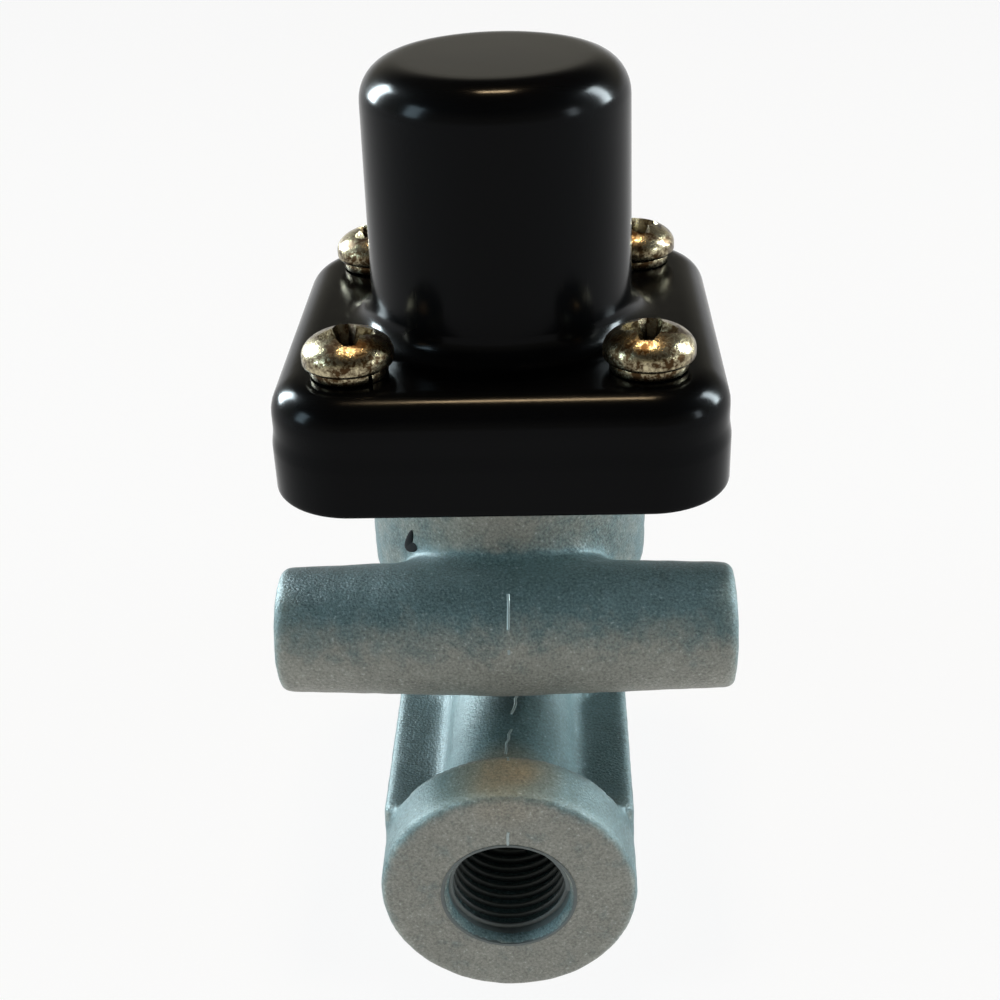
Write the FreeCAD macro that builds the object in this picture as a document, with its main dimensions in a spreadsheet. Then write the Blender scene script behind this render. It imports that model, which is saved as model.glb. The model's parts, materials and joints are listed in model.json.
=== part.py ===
import FreeCAD, Part
import math
import os
import re

import Sketcher
from FreeCAD import Vector

# Air pressure protection valve, in millimetres.
# The origin is the middle of the mounting bore in the cross bar. X runs along the bar, Y from the
# supply port to the delivery port, Z up along the spring cover. The sub-parts are drawn in the valve's
# own frame, whose Z axis is the piston axis and whose zero height is the port axis, and are then placed.

SIZES = {
    # ports and the block that carries them, measured from the valve axis and the port axis
    "port_face_reach": 38.0,
    "drum_width": 6.8,
    "drum_radius": 13.85,
    "drum_edge_round": 0.9,
    "drum_root": 3.0,
    "drum_root_radius": 5.0,
    "block_half_width": 13.75,
    "block_top": 6.4,
    "rib_radius": 7.5,
    "rib_centre_height": 5.2,
    "rib_fillet": 1.6,
    "block_edge_round": 0.8,
    "thread_bore_radius": 6.55,
    "thread_depth": 14.0,
    "port_mouth_radius": 7.05,
    "port_mouth_depth": 0.9,
    "port_drill_radius": 4.3,
    "drill_tip_height": 1.2,
    # column, collar and flange of the casting
    "column_radius": 12.2,
    "column_fillet": 3.2,
    "collar_radius": 16.3,
    "collar_bottom": 18.6,
    "collar_round": 3.4,
    "flange_gap": 0.3,
    "flange_bottom": 38.6,
    "flange_top": 49.3,
    # cross bar with the mounting bore
    "bar_reach": 19.0,
    "bar_height": 22.0,
    "bar_length": 50.0,
    "bar_middle_radius": 7.7,
    "bar_end_radius": 6.9,
    "bar_end_round": 1.0,
    "mounting_bore_radius": 4.2,
    # inner bores of the casting
    "piston_bore_radius": 12.5,
    "piston_bore_floor": 21.0,
    "supply_passage_offset": 9.0,
    "supply_passage_radius": 2.2,
    "delivery_passage_radius": 3.4,
    # deep drawn cover
    "cover_half_width": 24.0,
    "cover_corner_radius": 8.5,
    "cover_edge_round": 3.8,
    "cover_sheet": 1.5,
    "skirt_bottom": 39.1,
    "cover_lip_height": 5.1,
    "cover_lip_flare": 0.25,
    "gasket_thickness": 1.0,
    "dome_base_radius": 14.45,
    "dome_top_radius": 14.2,
    "dome_top": 80.3,
    "dome_edge_round": 4.2,
    "dome_base_fillet": 3.0,
    # screws and lock washers
    "screw_half_spacing": 15.5,
    "screw_shank_radius": 2.35,
    "screw_length": 10.0,
    "screw_head_radius": 4.8,
    "screw_head_height": 3.5,
    "screw_head_under_round": 1.2,
    "screw_head_top_round": 2.1,
    "cross_recess_width": 1.1,
    "cross_recess_span": 5.2,
    "cross_recess_depth": 2.0,
    "screw_hole_radius": 2.4,
    "screw_clearance": 0.35,
    "screw_hole_depth": 9.2,
    "lock_washer_radius": 4.1,
    "lock_washer_bore": 2.6,
    "lock_washer_thickness": 1.2,
    "lock_washer_turn": 349.0,
    # valve seat
    "seat_radius": 6.0,
    "seat_depth": 2.8,
    "seat_lip_height": 2.5,
    "seat_lip_radius": 5.0,
    "seat_lip_width": 1.0,
    "seat_ring_section": 0.7,
    # piston and what it carries
    "running_gap": 0.05,
    "piston_bottom_gap": 3.6,
    "piston_height": 11.4,
    "seal_groove_height": 2.4,
    "seal_groove_rise": 3.0,
    "seal_groove_depth": 1.9,
    "guide_groove_height": 2.4,
    "guide_groove_rise": 7.6,
    "guide_groove_depth": 1.0,
    "spring_pocket_radius": 10.3,
    "spring_pocket_depth": 4.6,
    "stem_radius": 4.5,
    "stem_top": 60.0,
    "disc_radius": 7.0,
    "disc_thickness": 2.4,
    "disc_bore_radius": 1.6,
    "retainer_radius": 3.0,
    "retainer_thickness": 0.8,
    "disc_screw_radius": 1.5,
    "disc_screw_head_radius": 2.5,
    "disc_screw_head_height": 1.4,
    "disc_screw_length": 7.4,
    "disc_screw_end_gap": 0.4,
    # spring and its upper seat
    "wire_radius": 1.1,
    "coil_radius": 8.7,
    "coil_count": 7.0,
    "coil_end_gap": 0.3,
    "upper_seat_radius": 10.8,
    "upper_seat_thickness": 2.2,
    "stop_post_radius": 5.0,
    "piston_lift": 2.4,
    "stop_gap": 0.2,
    "shim_radius": 9.6,
    "shim_thickness": 0.6,
}

# Heights and places that several sub-parts share, as expressions of the sizes.
RIM_REACH = "(port_face_reach - drum_width)"
COVER_TOP = "(flange_top + gasket_thickness + cover_sheet)"
PISTON_BOTTOM = "(piston_bore_floor + piston_bottom_gap)"
DISC_FACE = "(piston_bore_floor + seat_lip_height)"
DISC_DROP = "(piston_bottom_gap - seat_lip_height)"
DISC_RISE = "(disc_thickness - piston_bottom_gap + seat_lip_height)"
SPRING_FLOOR = "(piston_bore_floor + piston_bottom_gap + piston_height - spring_pocket_depth)"
UPPER_SEAT = "(dome_top - cover_sheet - shim_thickness * 2 - upper_seat_thickness)"
SPRING_ROOM = f"({UPPER_SEAT} - {SPRING_FLOOR})"
SCREW_CORNERS = [
    ("-screw_half_spacing", "-screw_half_spacing"), ("screw_half_spacing", "-screw_half_spacing"),
    ("screw_half_spacing", "screw_half_spacing"), ("-screw_half_spacing", "screw_half_spacing"),
]

doc = FreeCAD.newDocument("pressure_protection_valve")
sheet = doc.addObject("Spreadsheet::Sheet", "Sizes")
for row, (alias, size) in enumerate(SIZES.items(), start=1):
    sheet.set(f"A{row}", alias)
    sheet.set(f"B{row}", str(size))
    sheet.setAlias(f"B{row}", alias)
doc.recompute()


def bound(text):
    """The expression with every size's name read from the sheet."""
    return re.sub(r"[a-z][a-z_]+[a-z]", r"Sizes.\g<0>", text)


def size(text):
    """The present value of an expression of the sheet's sizes."""
    return float(sheet.evalExpression(bound(text)))


def new_body(label):
    body = doc.addObject("PartDesign::Body", label)
    body.Label = label
    return body


def place(body, x="0", y="0", height="0"):
    """Place a sub-part's own zero in the valve's frame, which lies behind and below the origin."""
    body.setExpression("Placement.Base.x", bound(x))
    body.setExpression("Placement.Base.y", bound(f"bar_reach + ({y})"))
    body.setExpression("Placement.Base.z", bound(f"({height}) - bar_height"))


def new_sketch(body, role, across="0", up="0", out="0"):
    """A sketch on one of the body's origin planes, shifted in the plane and along its normal."""
    sketch = body.newObject("Sketcher::SketchObject", "Sketch")
    plane = [face for face in body.Origin.OriginFeatures if face.Role == role][0]
    sketch.AttachmentSupport = [(plane, "")]
    sketch.MapMode = "FlatFace"
    sketch.setExpression("AttachmentOffset.Base.x", bound(across))
    sketch.setExpression("AttachmentOffset.Base.y", bound(up))
    sketch.setExpression("AttachmentOffset.Base.z", bound(out))
    return sketch


def tie(sketch, constraint, text):
    """Add a sketch constraint whose value follows the sheet."""
    index = sketch.addConstraint(constraint)
    sketch.setExpression(f"Constraints[{index}]", bound(text))


def outline(sketch, points):
    """A closed outline through points given as pairs of expressions.

    A point may also name a centre: the stretch that leaves it is then an arc about that centre.
    """
    corners = [Vector(size(point[0]), size(point[1]), 0) for point in points]
    base = sketch.GeometryCount
    starts = []
    ends = []
    for i, point in enumerate(points):
        here = corners[i]
        there = corners[(i + 1) % len(corners)]
        if len(point) == 2:
            index = sketch.addGeometry(Part.LineSegment(here, there), False)
            starts.append((index, 1))
            ends.append((index, 2))
            continue
        centre = Vector(size(point[2]), size(point[3]), 0)
        leaves = here - centre
        arrives = there - centre
        turns_left = leaves.cross(arrives).z > -1e-6
        first, last = (leaves, arrives) if turns_left else (arrives, leaves)
        whole = Part.Circle(centre, Vector(0, 0, 1), leaves.Length)
        first_angle = math.atan2(first.y, first.x)
        last_angle = math.atan2(last.y, last.x)
        if last_angle <= first_angle:
            last_angle += 2 * math.pi
        index = sketch.addGeometry(Part.ArcOfCircle(whole, first_angle, last_angle), False)
        starts.append((index, 1 if turns_left else 2))
        ends.append((index, 2 if turns_left else 1))
        if abs(there.x - here.x) > abs(there.y - here.y):
            tie(sketch, Sketcher.Constraint("DistanceY", -1, 1, index, 3, centre.y), point[3])
        else:
            tie(sketch, Sketcher.Constraint("DistanceX", -1, 1, index, 3, centre.x), point[2])
    for i, point in enumerate(points):
        after = starts[(i + 1) % len(points)]
        sketch.addConstraint(Sketcher.Constraint("Coincident", *ends[i], *after))
        tie(sketch, Sketcher.Constraint("DistanceX", -1, 1, *starts[i], corners[i].x), point[0])
        tie(sketch, Sketcher.Constraint("DistanceY", -1, 1, *starts[i], corners[i].y), point[1])


def circle(sketch, across, up, radius):
    middle = Vector(size(across), size(up), 0)
    index = sketch.addGeometry(Part.Circle(middle, Vector(0, 0, 1), size(radius)), False)
    tie(sketch, Sketcher.Constraint("DistanceX", -1, 1, index, 3, middle.x), across)
    tie(sketch, Sketcher.Constraint("DistanceY", -1, 1, index, 3, middle.y), up)
    tie(sketch, Sketcher.Constraint("Radius", index, size(radius)), radius)


def turned(body, sketch, axis="V_Axis", cut=False, angle="360"):
    """A piece or a cut turned about an axis of its sketch."""
    before = body.Tip
    feature = body.newObject("PartDesign::Groove" if cut else "PartDesign::Revolution", "Turned")
    feature.Profile = sketch
    feature.ReferenceAxis = (sketch, [axis])
    feature.setExpression("Angle", bound(angle))
    return finish(body, feature, before, cut)


def padded(body, sketch, length, both_ways=False, reverse=False):
    before = body.Tip
    feature = body.newObject("PartDesign::Pad", "Pad")
    feature.Profile = sketch
    feature.setExpression("Length", bound(length))
    feature.Midplane = both_ways
    feature.Reversed = reverse
    return finish(body, feature, before, False)


def pocketed(body, sketch, depth, both_ways=False, reverse=False):
    before = body.Tip
    feature = body.newObject("PartDesign::Pocket", "Pocket")
    feature.Profile = sketch
    feature.setExpression("Length", bound(depth))
    feature.Midplane = both_ways
    feature.Reversed = reverse
    return finish(body, feature, before, True)


def finish(body, feature, before, cut):
    """Recompute, and make sure that the feature added or removed material as it should."""
    volume_before = before.Shape.Volume if before is not None else 0.0
    doc.recompute()
    change = feature.Shape.Volume - volume_before
    if cut == (change > 0) or abs(change) < 1e-6:
        raise RuntimeError(f"{body.Label}: {feature.Name} changed the volume by {change}")
    return feature


def rounded(body, base, radius, chosen):
    """Round the edges of the base feature that the test picks."""
    names = [f"Edge{i + 1}" for i, edge in enumerate(base.Shape.Edges) if chosen(edge)]
    if not names:
        raise RuntimeError(f"{body.Label}: no edge to round by {radius}")
    feature = body.newObject("PartDesign::Fillet", "Fillet")
    feature.Base = (base, names)
    feature.setExpression("Radius", bound(radius))
    doc.recompute()
    if not feature.Shape.isValid() or feature.Shape.isNull():
        raise RuntimeError(f"{body.Label}: rounding by {radius} failed")
    return feature


def ring_at(height, radius, tolerance=0.02):
    """A test for a round edge about the body's Z axis at a height and a radius."""
    level = size(height)
    reach = size(radius)

    def test(edge):
        if not isinstance(edge.Curve, Part.Circle):
            return False
        middle = edge.Curve.Center
        on_axis = math.hypot(middle.x, middle.y) < tolerance
        return on_axis and abs(middle.z - level) < tolerance and abs(edge.Curve.Radius - reach) < tolerance
    return test


def level_edge(height, tolerance=0.02):
    """A test for an edge that lies wholly at one height."""
    level = size(height)

    def test(edge):
        box = edge.BoundBox
        return abs(box.ZMin - level) < tolerance and abs(box.ZMax - level) < tolerance
    return test


def ring_across(reach, radius, along, tolerance=0.02):
    """A test for the round edges at both ends of a bar or drum that lies along X or Y."""
    far = size(reach)
    round_to = size(radius)

    def test(edge):
        if not isinstance(edge.Curve, Part.Circle):
            return False
        place_along = abs(getattr(edge.Curve.Center, along))
        return abs(place_along - far) < tolerance and abs(edge.Curve.Radius - round_to) < tolerance
    return test


def along_ports(edge):
    """True for a straight edge along Y on the block's top."""
    if not isinstance(edge.Curve, Part.Line):
        return False
    on_top = abs(edge.CenterOfMass.z - size("block_top")) < 0.02
    return on_top and abs(edge.tangentAt(edge.FirstParameter).y) > 0.999


def rib_root(edge):
    """True for the edges where the ribs rise from the block and meet the column's flare."""
    if along_ports(edge):
        return abs(edge.CenterOfMass.x) < size("rib_radius + rib_fillet")
    box = edge.BoundBox
    above = box.ZMin > size("block_top") - 0.1 and box.ZMax < size("rib_centre_height + rib_radius") + 0.1
    within = max(abs(box.XMin), abs(box.XMax)) < size("rib_radius") + 0.1
    meets = min(abs(box.YMin), abs(box.YMax)) < size("column_radius + column_fillet")
    return isinstance(edge.Curve, Part.BSplineCurve) and above and within and meets


def block_shoulder(edge):
    """True for the long outer edges of the block's top."""
    return along_ports(edge) and abs(edge.CenterOfMass.x) > size("block_half_width") - 0.1


def soft_square(half, radius):
    """The outline of a square about the middle, with round corners."""
    flat = f"({half} - ({radius}))"
    return [
        (f"-{flat}", f"-({half})"), (flat, f"-({half})", flat, f"-{flat}"),
        (half, f"-{flat}"), (half, flat, flat, flat),
        (flat, half), (f"-{flat}", half, f"-{flat}", flat),
        (f"-({half})", flat), (f"-({half})", f"-{flat}", f"-{flat}", f"-{flat}"),
    ]


def valve_body():
    """The die casting: port block and drums, column, collar, flange, and cross bar, with its bores."""
    body = new_body("valve_body")

    # column on its flare, with the collar above
    flare = "column_radius + column_fillet"
    hollow = "block_top + column_fillet"
    rim = "collar_radius - collar_round"
    section = new_sketch(body, "XZ_Plane")
    outline(section, [
        ("0", "0"), (flare, "0"), (flare, "block_top", flare, hollow), ("column_radius", hollow),
        ("column_radius", "collar_bottom"), (rim, "collar_bottom", rim, "collar_bottom + collar_round"),
        ("collar_radius", "collar_bottom + collar_round"), ("collar_radius", "flange_bottom"),
        ("0", "flange_bottom"),
    ])
    turned(body, section)

    # the flare is no wider than the block
    for side in ("", "-"):
        beside = new_sketch(body, "XY_Plane", out=hollow)
        outline(beside, [
            (f"{side}block_half_width", f"-{RIM_REACH}"), (f"{side}collar_radius * 2", f"-{RIM_REACH}"),
            (f"{side}collar_radius * 2", RIM_REACH), (f"{side}block_half_width", RIM_REACH),
        ])
        pocketed(body, beside, hollow)

    # port block, round below and flat sided above, with a drum at each end
    block = new_sketch(body, "XZ_Plane")
    outline(block, [
        ("block_half_width", "block_top"), ("-block_half_width", "block_top"),
        ("-block_half_width", "0", "0", "0"), ("block_half_width", "0"),
    ])
    padded(body, block, f"{RIM_REACH} * 2", both_ways=True)
    for side in ("-", ""):
        drum = new_sketch(body, "YZ_Plane")
        outline(drum, [
            (f"{side}({RIM_REACH} - drum_root)", "0"), (f"{side}port_face_reach", "0"),
            (f"{side}port_face_reach", "drum_radius - drum_edge_round",
             f"{side}(port_face_reach - drum_edge_round)", "drum_radius - drum_edge_round"),
            (f"{side}(port_face_reach - drum_edge_round)", "drum_radius"),
            (f"{side}{RIM_REACH}", "drum_radius"), (f"{side}{RIM_REACH}", "drum_root_radius"),
            (f"{side}({RIM_REACH} - drum_root)", "drum_root_radius"),
        ])
        turned(body, drum, "H_Axis")

    # rib over each port bore
    ridge = new_sketch(body, "YZ_Plane", up="rib_centre_height")
    ridge_end = f"({RIM_REACH} + port_face_reach) / 2"
    outline(ridge, [
        (f"-{ridge_end}", "0"), (ridge_end, "0"),
        (ridge_end, "rib_radius"), (f"-{ridge_end}", "rib_radius"),
    ])
    ribbed = turned(body, ridge, "H_Axis")
    rooted = rounded(body, ribbed, "rib_fillet", rib_root)
    rounded(body, rooted, "block_edge_round", block_shoulder)

    # cross bar, thickest at the parting plane
    bar = new_sketch(body, "XZ_Plane", up="bar_height", out="bar_reach")
    outline(bar, [
        ("-bar_length / 2", "0"), ("bar_length / 2", "0"), ("bar_length / 2", "bar_end_radius"),
        ("0", "bar_middle_radius"), ("-bar_length / 2", "bar_end_radius"),
    ])
    barred = turned(body, bar, "H_Axis")
    rounded(body, barred, "bar_end_round", ring_across("bar_length / 2", "bar_end_radius", "x"))

    # square flange under the cover
    plate = new_sketch(body, "XY_Plane", out="flange_bottom")
    inset = "(cover_sheet + flange_gap)"
    outline(plate, soft_square(f"cover_half_width - {inset}", f"cover_corner_radius - {inset}"))
    padded(body, plate, "flange_top - flange_bottom")

    # piston bore, seat pocket and delivery passage
    bore = new_sketch(body, "XZ_Plane")
    outline(bore, [
        ("0", "0"), ("delivery_passage_radius", "0"),
        ("delivery_passage_radius", "piston_bore_floor - seat_depth"),
        ("seat_radius", "piston_bore_floor - seat_depth"), ("seat_radius", "piston_bore_floor"),
        ("piston_bore_radius", "piston_bore_floor"), ("piston_bore_radius", "flange_top"),
        ("0", "flange_top"),
    ])
    turned(body, bore, cut=True)
    passage = new_sketch(body, "XY_Plane")
    circle(passage, "0", "-supply_passage_offset", "supply_passage_radius")
    pocketed(body, passage, "piston_bore_floor", reverse=True)

    # ports: the supply drilling ends under its passage, the delivery drilling at the valve axis
    supply_end = "supply_passage_offset - supply_passage_radius"
    for side, drill_end in (("-", supply_end), ("", "0")):
        port = new_sketch(body, "YZ_Plane")
        outline(port, [
            (f"{side}({drill_end} - drill_tip_height)", "0"), (f"{side}port_face_reach", "0"),
            (f"{side}port_face_reach", "port_mouth_radius"),
            (f"{side}(port_face_reach - port_mouth_depth)", "thread_bore_radius"),
            (f"{side}(port_face_reach - thread_depth)", "thread_bore_radius"),
            (f"{side}(port_face_reach - thread_depth)", "port_drill_radius"),
            (f"{side}({drill_end})", "port_drill_radius"),
        ])
        turned(body, port, "H_Axis", cut=True)

    # mounting bore through the cross bar, and the tapped holes for the cover screws
    eye = new_sketch(body, "YZ_Plane")
    circle(eye, "-bar_reach", "bar_height", "mounting_bore_radius")
    pocketed(body, eye, "bar_length + bar_middle_radius", both_ways=True)
    taps = new_sketch(body, "XY_Plane", out="flange_top")
    for across, along in SCREW_CORNERS:
        circle(taps, across, along, "screw_hole_radius")
    pocketed(body, taps, "screw_hole_depth")
    place(body)
    return body


def spring_cover():
    """The deep drawn cover: square plate with its skirt, and the dome that holds the spring."""
    body = new_body("spring_cover")
    plate = new_sketch(body, "XY_Plane", out="skirt_bottom")
    outline(plate, soft_square("cover_half_width", "cover_corner_radius"))
    block = padded(body, plate, f"{COVER_TOP} - skirt_bottom")
    rounded(body, block, "cover_edge_round", level_edge(COVER_TOP))
    lip = new_sketch(body, "XY_Plane", out="skirt_bottom")
    outline(lip, soft_square("cover_half_width + cover_lip_flare", "cover_corner_radius + cover_lip_flare"))
    padded(body, lip, "cover_lip_height")
    dome = new_sketch(body, "XZ_Plane")
    outline(dome, [
        ("0", "flange_top"), ("dome_base_radius", "flange_top"), ("dome_base_radius", COVER_TOP),
        ("dome_top_radius", "dome_top"), ("0", "dome_top"),
    ])
    domed = turned(body, dome)
    base = rounded(body, domed, "dome_base_fillet", ring_at(COVER_TOP, "dome_base_radius"))
    rounded(body, base, "dome_edge_round", ring_at("dome_top", "dome_top_radius"))

    # inside of the skirt and of the dome, one sheet thickness in
    inside = new_sketch(body, "XY_Plane", out="skirt_bottom")
    outline(inside, soft_square("cover_half_width - cover_sheet", "cover_corner_radius - cover_sheet"))
    hollow = pocketed(body, inside, f"{COVER_TOP} - cover_sheet - skirt_bottom", reverse=True)
    rounded(body, hollow, "cover_edge_round - cover_sheet", level_edge(f"{COVER_TOP} - cover_sheet"))
    room = new_sketch(body, "XZ_Plane")
    outline(room, [
        ("0", f"{COVER_TOP} - cover_sheet"),
        ("dome_base_radius - cover_sheet", f"{COVER_TOP} - cover_sheet"),
        ("dome_top_radius - cover_sheet", "dome_top - cover_sheet"), ("0", "dome_top - cover_sheet"),
    ])
    roomy = turned(body, room, cut=True)
    inner_base = rounded(body, roomy, "dome_base_fillet / 2",
                         ring_at(f"{COVER_TOP} - cover_sheet", "dome_base_radius - cover_sheet"))
    rounded(body, inner_base, "dome_edge_round - cover_sheet",
            ring_at("dome_top - cover_sheet", "dome_top_radius - cover_sheet"))
    holes = new_sketch(body, "XY_Plane", out=COVER_TOP)
    for across, along in SCREW_CORNERS:
        circle(holes, across, along, "screw_shank_radius + screw_clearance")
    pocketed(body, holes, "cover_sheet * 2")
    place(body)
    return body


def cover_gasket():
    """The flat gasket between the flange and the cover."""
    body = new_body("cover_gasket")
    sheet_outline = new_sketch(body, "XY_Plane")
    outline(sheet_outline, soft_square("cover_half_width - cover_edge_round - flange_gap",
                                       "cover_corner_radius - cover_edge_round"))
    padded(body, sheet_outline, "gasket_thickness")
    holes = new_sketch(body, "XY_Plane")
    circle(holes, "0", "0", "piston_bore_radius")
    for across, along in SCREW_CORNERS:
        circle(holes, across, along, "screw_shank_radius + screw_clearance")
    pocketed(body, holes, "gasket_thickness", reverse=True)
    place(body, height="flange_top")
    return body


def cover_screw(label, across, along):
    """A pan head screw with a cross recess; its zero is under the head."""
    body = new_body(label)
    section = new_sketch(body, "XZ_Plane")
    outline(section, [
        ("0", "-screw_length"), ("screw_shank_radius", "-screw_length"), ("screw_shank_radius", "0"),
        ("screw_head_radius", "0"), ("screw_head_radius", "screw_head_height"), ("0", "screw_head_height"),
    ])
    blank = turned(body, section)
    under = rounded(body, blank, "screw_head_under_round", ring_at("0", "screw_head_radius"))
    rounded(body, under, "screw_head_top_round", ring_at("screw_head_height", "screw_head_radius"))
    cross = new_sketch(body, "XY_Plane", out="screw_head_height")
    near = "cross_recess_width / 2"
    far = "cross_recess_span / 2"
    outline(cross, [
        (near, near), (far, near), (far, f"-{near}"), (near, f"-{near}"), (near, f"-{far}"),
        (f"-{near}", f"-{far}"), (f"-{near}", f"-{near}"), (f"-{far}", f"-{near}"), (f"-{far}", near),
        (f"-{near}", near), (f"-{near}", far), (near, far),
    ])
    pocketed(body, cross, "cross_recess_depth")
    place(body, across, along, f"{COVER_TOP} + lock_washer_thickness")
    return body


def lock_washer(label, across, along):
    """A split spring washer under a screw head."""
    body = new_body(label)
    section = new_sketch(body, "XZ_Plane")
    outline(section, [
        ("lock_washer_bore", "0"), ("lock_washer_radius", "0"),
        ("lock_washer_radius", "lock_washer_thickness"), ("lock_washer_bore", "lock_washer_thickness"),
    ])
    turned(body, section, angle="lock_washer_turn")
    place(body, across, along, COVER_TOP)
    return body


def valve_seat():
    """The pressed-in seat with its raised lip and the groove for its sealing ring."""
    body = new_body("valve_seat")
    section = new_sketch(body, "XZ_Plane")
    outline(section, [
        ("delivery_passage_radius", "-seat_depth"), ("seat_radius", "-seat_depth"),
        ("seat_radius", "-seat_depth / 2 - seat_ring_section"),
        ("seat_radius - seat_ring_section * 2", "-seat_depth / 2 - seat_ring_section"),
        ("seat_radius - seat_ring_section * 2", "-seat_depth / 2 + seat_ring_section"),
        ("seat_radius", "-seat_depth / 2 + seat_ring_section"), ("seat_radius", "0"),
        ("seat_lip_radius", "0"), ("seat_lip_radius", "seat_lip_height"),
        ("seat_lip_radius - seat_lip_width", "seat_lip_height"), ("delivery_passage_radius", "0"),
    ])
    turned(body, section)
    place(body, height="piston_bore_floor")
    return body


def seat_ring():
    """The sealing ring in the groove of the valve seat."""
    body = new_body("seat_ring")
    section = new_sketch(body, "XZ_Plane")
    circle(section, "seat_radius - seat_ring_section", "0", "seat_ring_section")
    turned(body, section)
    place(body, height="piston_bore_floor - seat_depth / 2")
    return body


def piston():
    """The piston, with its seal grooves, its recess for the valve disc and its stem."""
    body = new_body("piston")
    edge = "piston_bore_radius - running_gap"
    seal_top = "seal_groove_rise + seal_groove_height"
    guide_top = "guide_groove_rise + guide_groove_height"
    pocket_floor = "piston_height - spring_pocket_depth"
    screw_top = f"disc_screw_length + disc_screw_end_gap - retainer_thickness - ({DISC_DROP})"
    section = new_sketch(body, "XZ_Plane")
    outline(section, [
        ("0", screw_top), ("disc_screw_radius", screw_top), ("disc_screw_radius", DISC_RISE),
        ("disc_radius", DISC_RISE), ("disc_radius", "0"), (edge, "0"),
        (edge, "seal_groove_rise"), (f"{edge} - seal_groove_depth", "seal_groove_rise"),
        (f"{edge} - seal_groove_depth", seal_top), (edge, seal_top),
        (edge, "guide_groove_rise"), (f"{edge} - guide_groove_depth", "guide_groove_rise"),
        (f"{edge} - guide_groove_depth", guide_top), (edge, guide_top), (edge, "piston_height"),
        ("spring_pocket_radius", "piston_height"), ("spring_pocket_radius", pocket_floor),
        ("stem_radius", pocket_floor), ("stem_radius", f"stem_top - ({PISTON_BOTTOM})"),
        ("0", f"stem_top - ({PISTON_BOTTOM})"),
    ])
    turned(body, section)
    place(body, height=PISTON_BOTTOM)
    return body


def grooved_ring(label, rise, depth, height):
    """A ring that fills a groove of the piston and runs in the bore."""
    body = new_body(label)
    edge = "piston_bore_radius - running_gap"
    section = new_sketch(body, "XZ_Plane")
    outline(section, [
        (f"{edge} - {depth}", "0"), (edge, "0"), (edge, height), (f"{edge} - {depth}", height),
    ])
    turned(body, section)
    place(body, height=f"{PISTON_BOTTOM} + {rise}")
    return body


def valve_disc():
    """The rubber disc that closes the seat."""
    body = new_body("valve_disc")
    section = new_sketch(body, "XZ_Plane")
    outline(section, [
        ("disc_bore_radius", "0"), ("disc_radius", "0"),
        ("disc_radius", "disc_thickness"), ("disc_bore_radius", "disc_thickness"),
    ])
    turned(body, section)
    place(body, height=DISC_FACE)
    return body


def disc_retainer():
    """The plain washer that holds the rubber disc."""
    body = new_body("disc_retainer")
    section = new_sketch(body, "XZ_Plane")
    outline(section, [
        ("disc_bore_radius", "-retainer_thickness"), ("retainer_radius", "-retainer_thickness"),
        ("retainer_radius", "0"), ("disc_bore_radius", "0"),
    ])
    turned(body, section)
    place(body, height=DISC_FACE)
    return body


def disc_screw():
    """The small screw through the retainer into the piston; its zero is on the retainer's lower face."""
    body = new_body("disc_screw")
    section = new_sketch(body, "XZ_Plane")
    outline(section, [
        ("0", "-disc_screw_head_height"), ("disc_screw_head_radius", "-disc_screw_head_height"),
        ("disc_screw_head_radius", "0"), ("disc_screw_radius", "0"),
        ("disc_screw_radius", "disc_screw_length"), ("0", "disc_screw_length"),
    ])
    blank = turned(body, section)
    rounded(body, blank, "disc_screw_head_height / 2",
            ring_at("-disc_screw_head_height", "disc_screw_head_radius"))
    place(body, height=f"{DISC_FACE} - retainer_thickness")
    return body


def pressure_spring():
    """The coil spring from the piston's pocket up to the upper seat."""
    body = new_body("pressure_spring")
    wire = new_sketch(body, "XZ_Plane")
    circle(wire, "coil_radius", "0", "wire_radius")
    coil = body.newObject("PartDesign::AdditiveHelix", "Coil")
    coil.Profile = wire
    coil.ReferenceAxis = (wire, ["V_Axis"])
    coil.Mode = "height-turns-angle"
    coil.setExpression("Height", bound(f"{SPRING_ROOM} - (wire_radius + coil_end_gap) * 2"))
    coil.setExpression("Turns", bound("coil_count"))
    doc.recompute()
    place(body, height=f"{SPRING_FLOOR} + wire_radius + coil_end_gap")
    return body


def upper_spring_seat():
    """The seat above the spring, with the post that stops the piston."""
    body = new_body("upper_spring_seat")
    section = new_sketch(body, "XZ_Plane")
    post = f"-({UPPER_SEAT} - stem_top - piston_lift - stop_gap)"
    outline(section, [
        ("0", post), ("stop_post_radius", post), ("stop_post_radius", "0"), ("upper_seat_radius", "0"),
        ("upper_seat_radius", "upper_seat_thickness"), ("0", "upper_seat_thickness"),
    ])
    turned(body, section)
    place(body, height=UPPER_SEAT)
    return body


def preset_shim(label, number):
    """A thin disc over the upper seat that sets the opening pressure."""
    body = new_body(label)
    face = new_sketch(body, "XY_Plane")
    circle(face, "0", "0", "shim_radius")
    padded(body, face, "shim_thickness")
    place(body, height=f"dome_top - cover_sheet - shim_thickness * {number}")
    return body


def write_parts(bodies):
    """Make sure that everything was made, and write each sub-part to its own file."""
    doc.recompute()
    for item in doc.Objects:
        if "Invalid" in item.State or "Error" in item.State:
            raise RuntimeError(f"{item.Label} ({item.Name}) failed: {item.State}")
    for body in bodies:
        if body.Shape.isNull() or not body.Shape.isValid() or body.Shape.Volume <= 0:
            raise RuntimeError(f"{body.Label} has no valid shape")
    os.makedirs("parts", exist_ok=True)
    for body in bodies:
        body.Shape.exportStep(os.path.join("parts", f"{body.Label}.step"))
        box = body.Shape.BoundBox
        print(f"{body.Label}: {len(body.Shape.Solids)} solid, {body.Shape.Volume:.1f} mm3, "
              f"X {box.XMin:.2f} to {box.XMax:.2f}, Y {box.YMin:.2f} to {box.YMax:.2f}, "
              f"Z {box.ZMin:.2f} to {box.ZMax:.2f}")


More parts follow.
